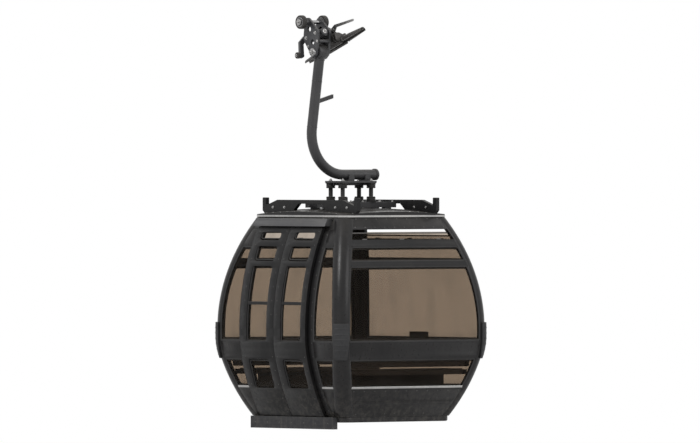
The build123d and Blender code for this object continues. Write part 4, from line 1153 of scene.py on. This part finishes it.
# Sizes of the grip's fasteners and welds
JAW_BOLT = 0.008
TIE_BOLT = 0.010
CHEEK_BOLT = 0.013
ROLLER_NUT = 0.010
LINK_NUT = 0.013
AXLE_NUT = 0.015
BARREL_NUT = 0.016
PIVOT_NUT = 0.024
AXLE_WELD_R, AXLE_WELD_T = 0.0325, 0.004
TIE_WELD_R, TIE_WELD_T = 0.0165, 0.003


def grip_bolts(draft):
    """Nuts on the grip's shafts and rods and bolts in its cheeks."""
    for along in (-BOLT_ALONG, BOLT_ALONG):
        for across, way in CHEEK_FACES:
            hex_bolt(draft, grip_point(along, across, BARREL_RISE), Y * way, CHEEK_BOLT)
        hex_bolt(draft, grip_point(along, CHEEK_OUTSIDE, TIE_RISE), -Y, TIE_BOLT)
        hex_bolt(draft, grip_point(along, JAW_BOLT_ACROSS, JAW_BOLT_RISE), SQUARE, JAW_BOLT)
    for way in (-1, 1):
        stud_nut(draft, grip_point(BARREL_END * way, PIVOT.y, BARREL_RISE), ALONG * way, BARREL_NUT)
    for across, way in AXLE_ENDS:
        stud_nut(draft, grip_point(0.0, across, AXLE_RISE), Y * way, AXLE_NUT)
    for along, way in LINK_ENDS:
        stud_nut(draft, grip_point(along, LINK_ACROSS, LINK_RISE), ALONG * way, LINK_NUT)
    stud_nut(draft, PIVOT_END, -Y, PIVOT_NUT)
    stud_nut(draft, ROLLER_END, -Y, ROLLER_NUT)


def grip_welds(draft):
    """Beads round the axle's boss and round the tie rods."""
    ring(draft, grip_point(0.0, AXLE_WELD_ACROSS, AXLE_RISE), Y, AXLE_WELD_R, AXLE_WELD_T, sides=36)
    for across in TIE_WELDS_ACROSS:
        for along in (-BOLT_ALONG, BOLT_ALONG):
            ring(draft, grip_point(along, across, TIE_RISE), Y, TIE_WELD_R, TIE_WELD_T, sides=28, tube=6)


piece("grip_bolts", "grip", "bright_steel", grip_bolts)
piece("grip_welds", "grip", "grip_paint", grip_welds)

# Bolts of the running wheels' hubs
HUB_BOLT = 0.004
HUB_BOLT_COUNT = 6
HUB_BOLT_CIRCLE = 0.035
HUB_FACE = 0.008
WHEELS = (("wheel_inner", -0.085, 1), ("wheel_outer", -0.375, -1))


def hub_bolts(across, way):
    """A circle of bolts on the outer face of a hub."""
    def fill(draft):
        for angle in around(HUB_BOLT_COUNT):
            place = grip_point(HUB_BOLT_CIRCLE * cos(angle), across + way * HUB_FACE,
                               AXLE_RISE + HUB_BOLT_CIRCLE * sin(angle))
            hex_bolt(draft, place, Y * way, HUB_BOLT)
    return fill


for body, across, way in WHEELS:
    piece(f"{body}_bolts", body, "bright_steel", hub_bolts(across, way))

# The studio: floor, world, lamps and camera
low, high = cad_box
centre = (Vector(low) + Vector(high)) / 2
FLOOR_DROP = 0.30
FLOOR_R = 45.0
FLOOR_PLACE = Vector((centre.x, centre.y, low[2] - FLOOR_DROP))
FLOOR_NEAR, FLOOR_FAR = 2.5, 8.0
WHITE = (1, 1, 1, 1)
FLOOR_GREY = (0.86, 0.86, 0.86, 1)
SKY_LIGHT = 0.62


def seen_rays(tree):
    """1 for rays from the camera, off gloss or through glass."""
    path = add_node(tree, "ShaderNodeLightPath")
    seen = maths(tree, "MAXIMUM", path.outputs["Is Camera Ray"], path.outputs["Is Glossy Ray"])
    return maths(tree, "MAXIMUM", seen, path.outputs["Is Transmission Ray"])


def floor_material():
    """A pale matt floor that fades to plain white away from the object."""
    made, tree, coords = start_material("studio_floor")
    offset = add_node(tree, "ShaderNodeVectorMath", {0: coords, 1: FLOOR_PLACE}, operation="DISTANCE")
    far = ramp(tree, offset.outputs["Value"], FLOOR_NEAR, FLOOR_FAR)
    part = maths(tree, "MULTIPLY", far, seen_rays(tree))
    near = add_node(tree, "ShaderNodeBsdfDiffuse", {"Color": FLOOR_GREY})
    white = add_node(tree, "ShaderNodeEmission", {"Color": WHITE, "Strength": 1.0})
    mix = add_node(tree, "ShaderNodeMixShader", {
        "Fac": part, 1: near.outputs["BSDF"], 2: white.outputs["Emission"]})
    add_node(tree, "ShaderNodeOutputMaterial", {"Surface": mix.outputs["Shader"]})
    return made


def studio_world():
    """A white sky that gives less light than it shows."""
    made = bpy.data.worlds.new("studio")
    made.use_nodes = True
    tree = made.node_tree
    tree.nodes.clear()
    strength = add_node(tree, "ShaderNodeMapRange", {
        "Value": seen_rays(tree), "From Min": 0.0, "From Max": 1.0, "To Min": SKY_LIGHT, "To Max": 1.0})
    sky = add_node(tree, "ShaderNodeBackground", {"Color": WHITE, "Strength": strength.outputs["Result"]})
    add_node(tree, "ShaderNodeOutputWorld", {"Surface": sky.outputs["Background"]})
    return made


floor_mesh = bpy.data.meshes.new("studio_floor")
draft = bmesh.new()
bmesh.ops.create_circle(draft, cap_ends=True, segments=96, radius=FLOOR_R,
                        matrix=Matrix.Translation(FLOOR_PLACE))
draft.to_mesh(floor_mesh)
draft.free()
floor_mesh.materials.append(floor_material())
floor = add_object("studio_floor", floor_mesh)
scene.world = studio_world()


def direction(azimuth, elevation):
    """The way to a lamp or camera that stands at an azimuth and an elevation."""
    return Vector((sin(azimuth) * cos(elevation), -cos(azimuth) * cos(elevation), sin(elevation)))


def aim(thing, way):
    """Turns a lamp or camera to look along a direction."""
    thing.rotation_mode = "QUATERNION"
    thing.rotation_quaternion = way.to_track_quat("-Z", "Y")


def sun(name, azimuth, elevation, strength, spread_angle):
    """A soft sun at an azimuth and an elevation, in degrees."""
    lamp = bpy.data.lights.new(name, "SUN")
    lamp.energy = strength
    lamp.angle = radians(spread_angle)
    aim(add_object(name, lamp), -direction(radians(azimuth), radians(elevation)))


sun("key", azimuth=5, elevation=42, strength=1.5, spread_angle=18)
sun("fill", azimuth=110, elevation=25, strength=0.7, spread_angle=30)

# The camera: the photo's viewing angle, with the object's height at its share of the frame
CAMERA_AZIMUTH = radians(49.3)
CAMERA_ELEVATION = radians(0.4)
CAMERA_DISTANCE = 150.0
CAMERA_REACH = 1000
SENSOR_WIDTH = 36
FRAME_ASPECT = 700 / 443
HEIGHT_SHARE = 0.93
camera_place = centre + direction(CAMERA_AZIMUTH, CAMERA_ELEVATION) * CAMERA_DISTANCE
camera_data = bpy.data.cameras.new("camera")
camera_data.sensor_width = SENSOR_WIDTH
camera_data.lens = SENSOR_WIDTH * CAMERA_DISTANCE / ((high[2] - low[2]) / HEIGHT_SHARE * FRAME_ASPECT)
camera_data.clip_end = CAMERA_REACH
camera = add_object("camera", camera_data)
camera.location = camera_place
aim(camera, centre - camera_place)
scene.camera = camera

scene.view_settings.view_transform = "Standard"
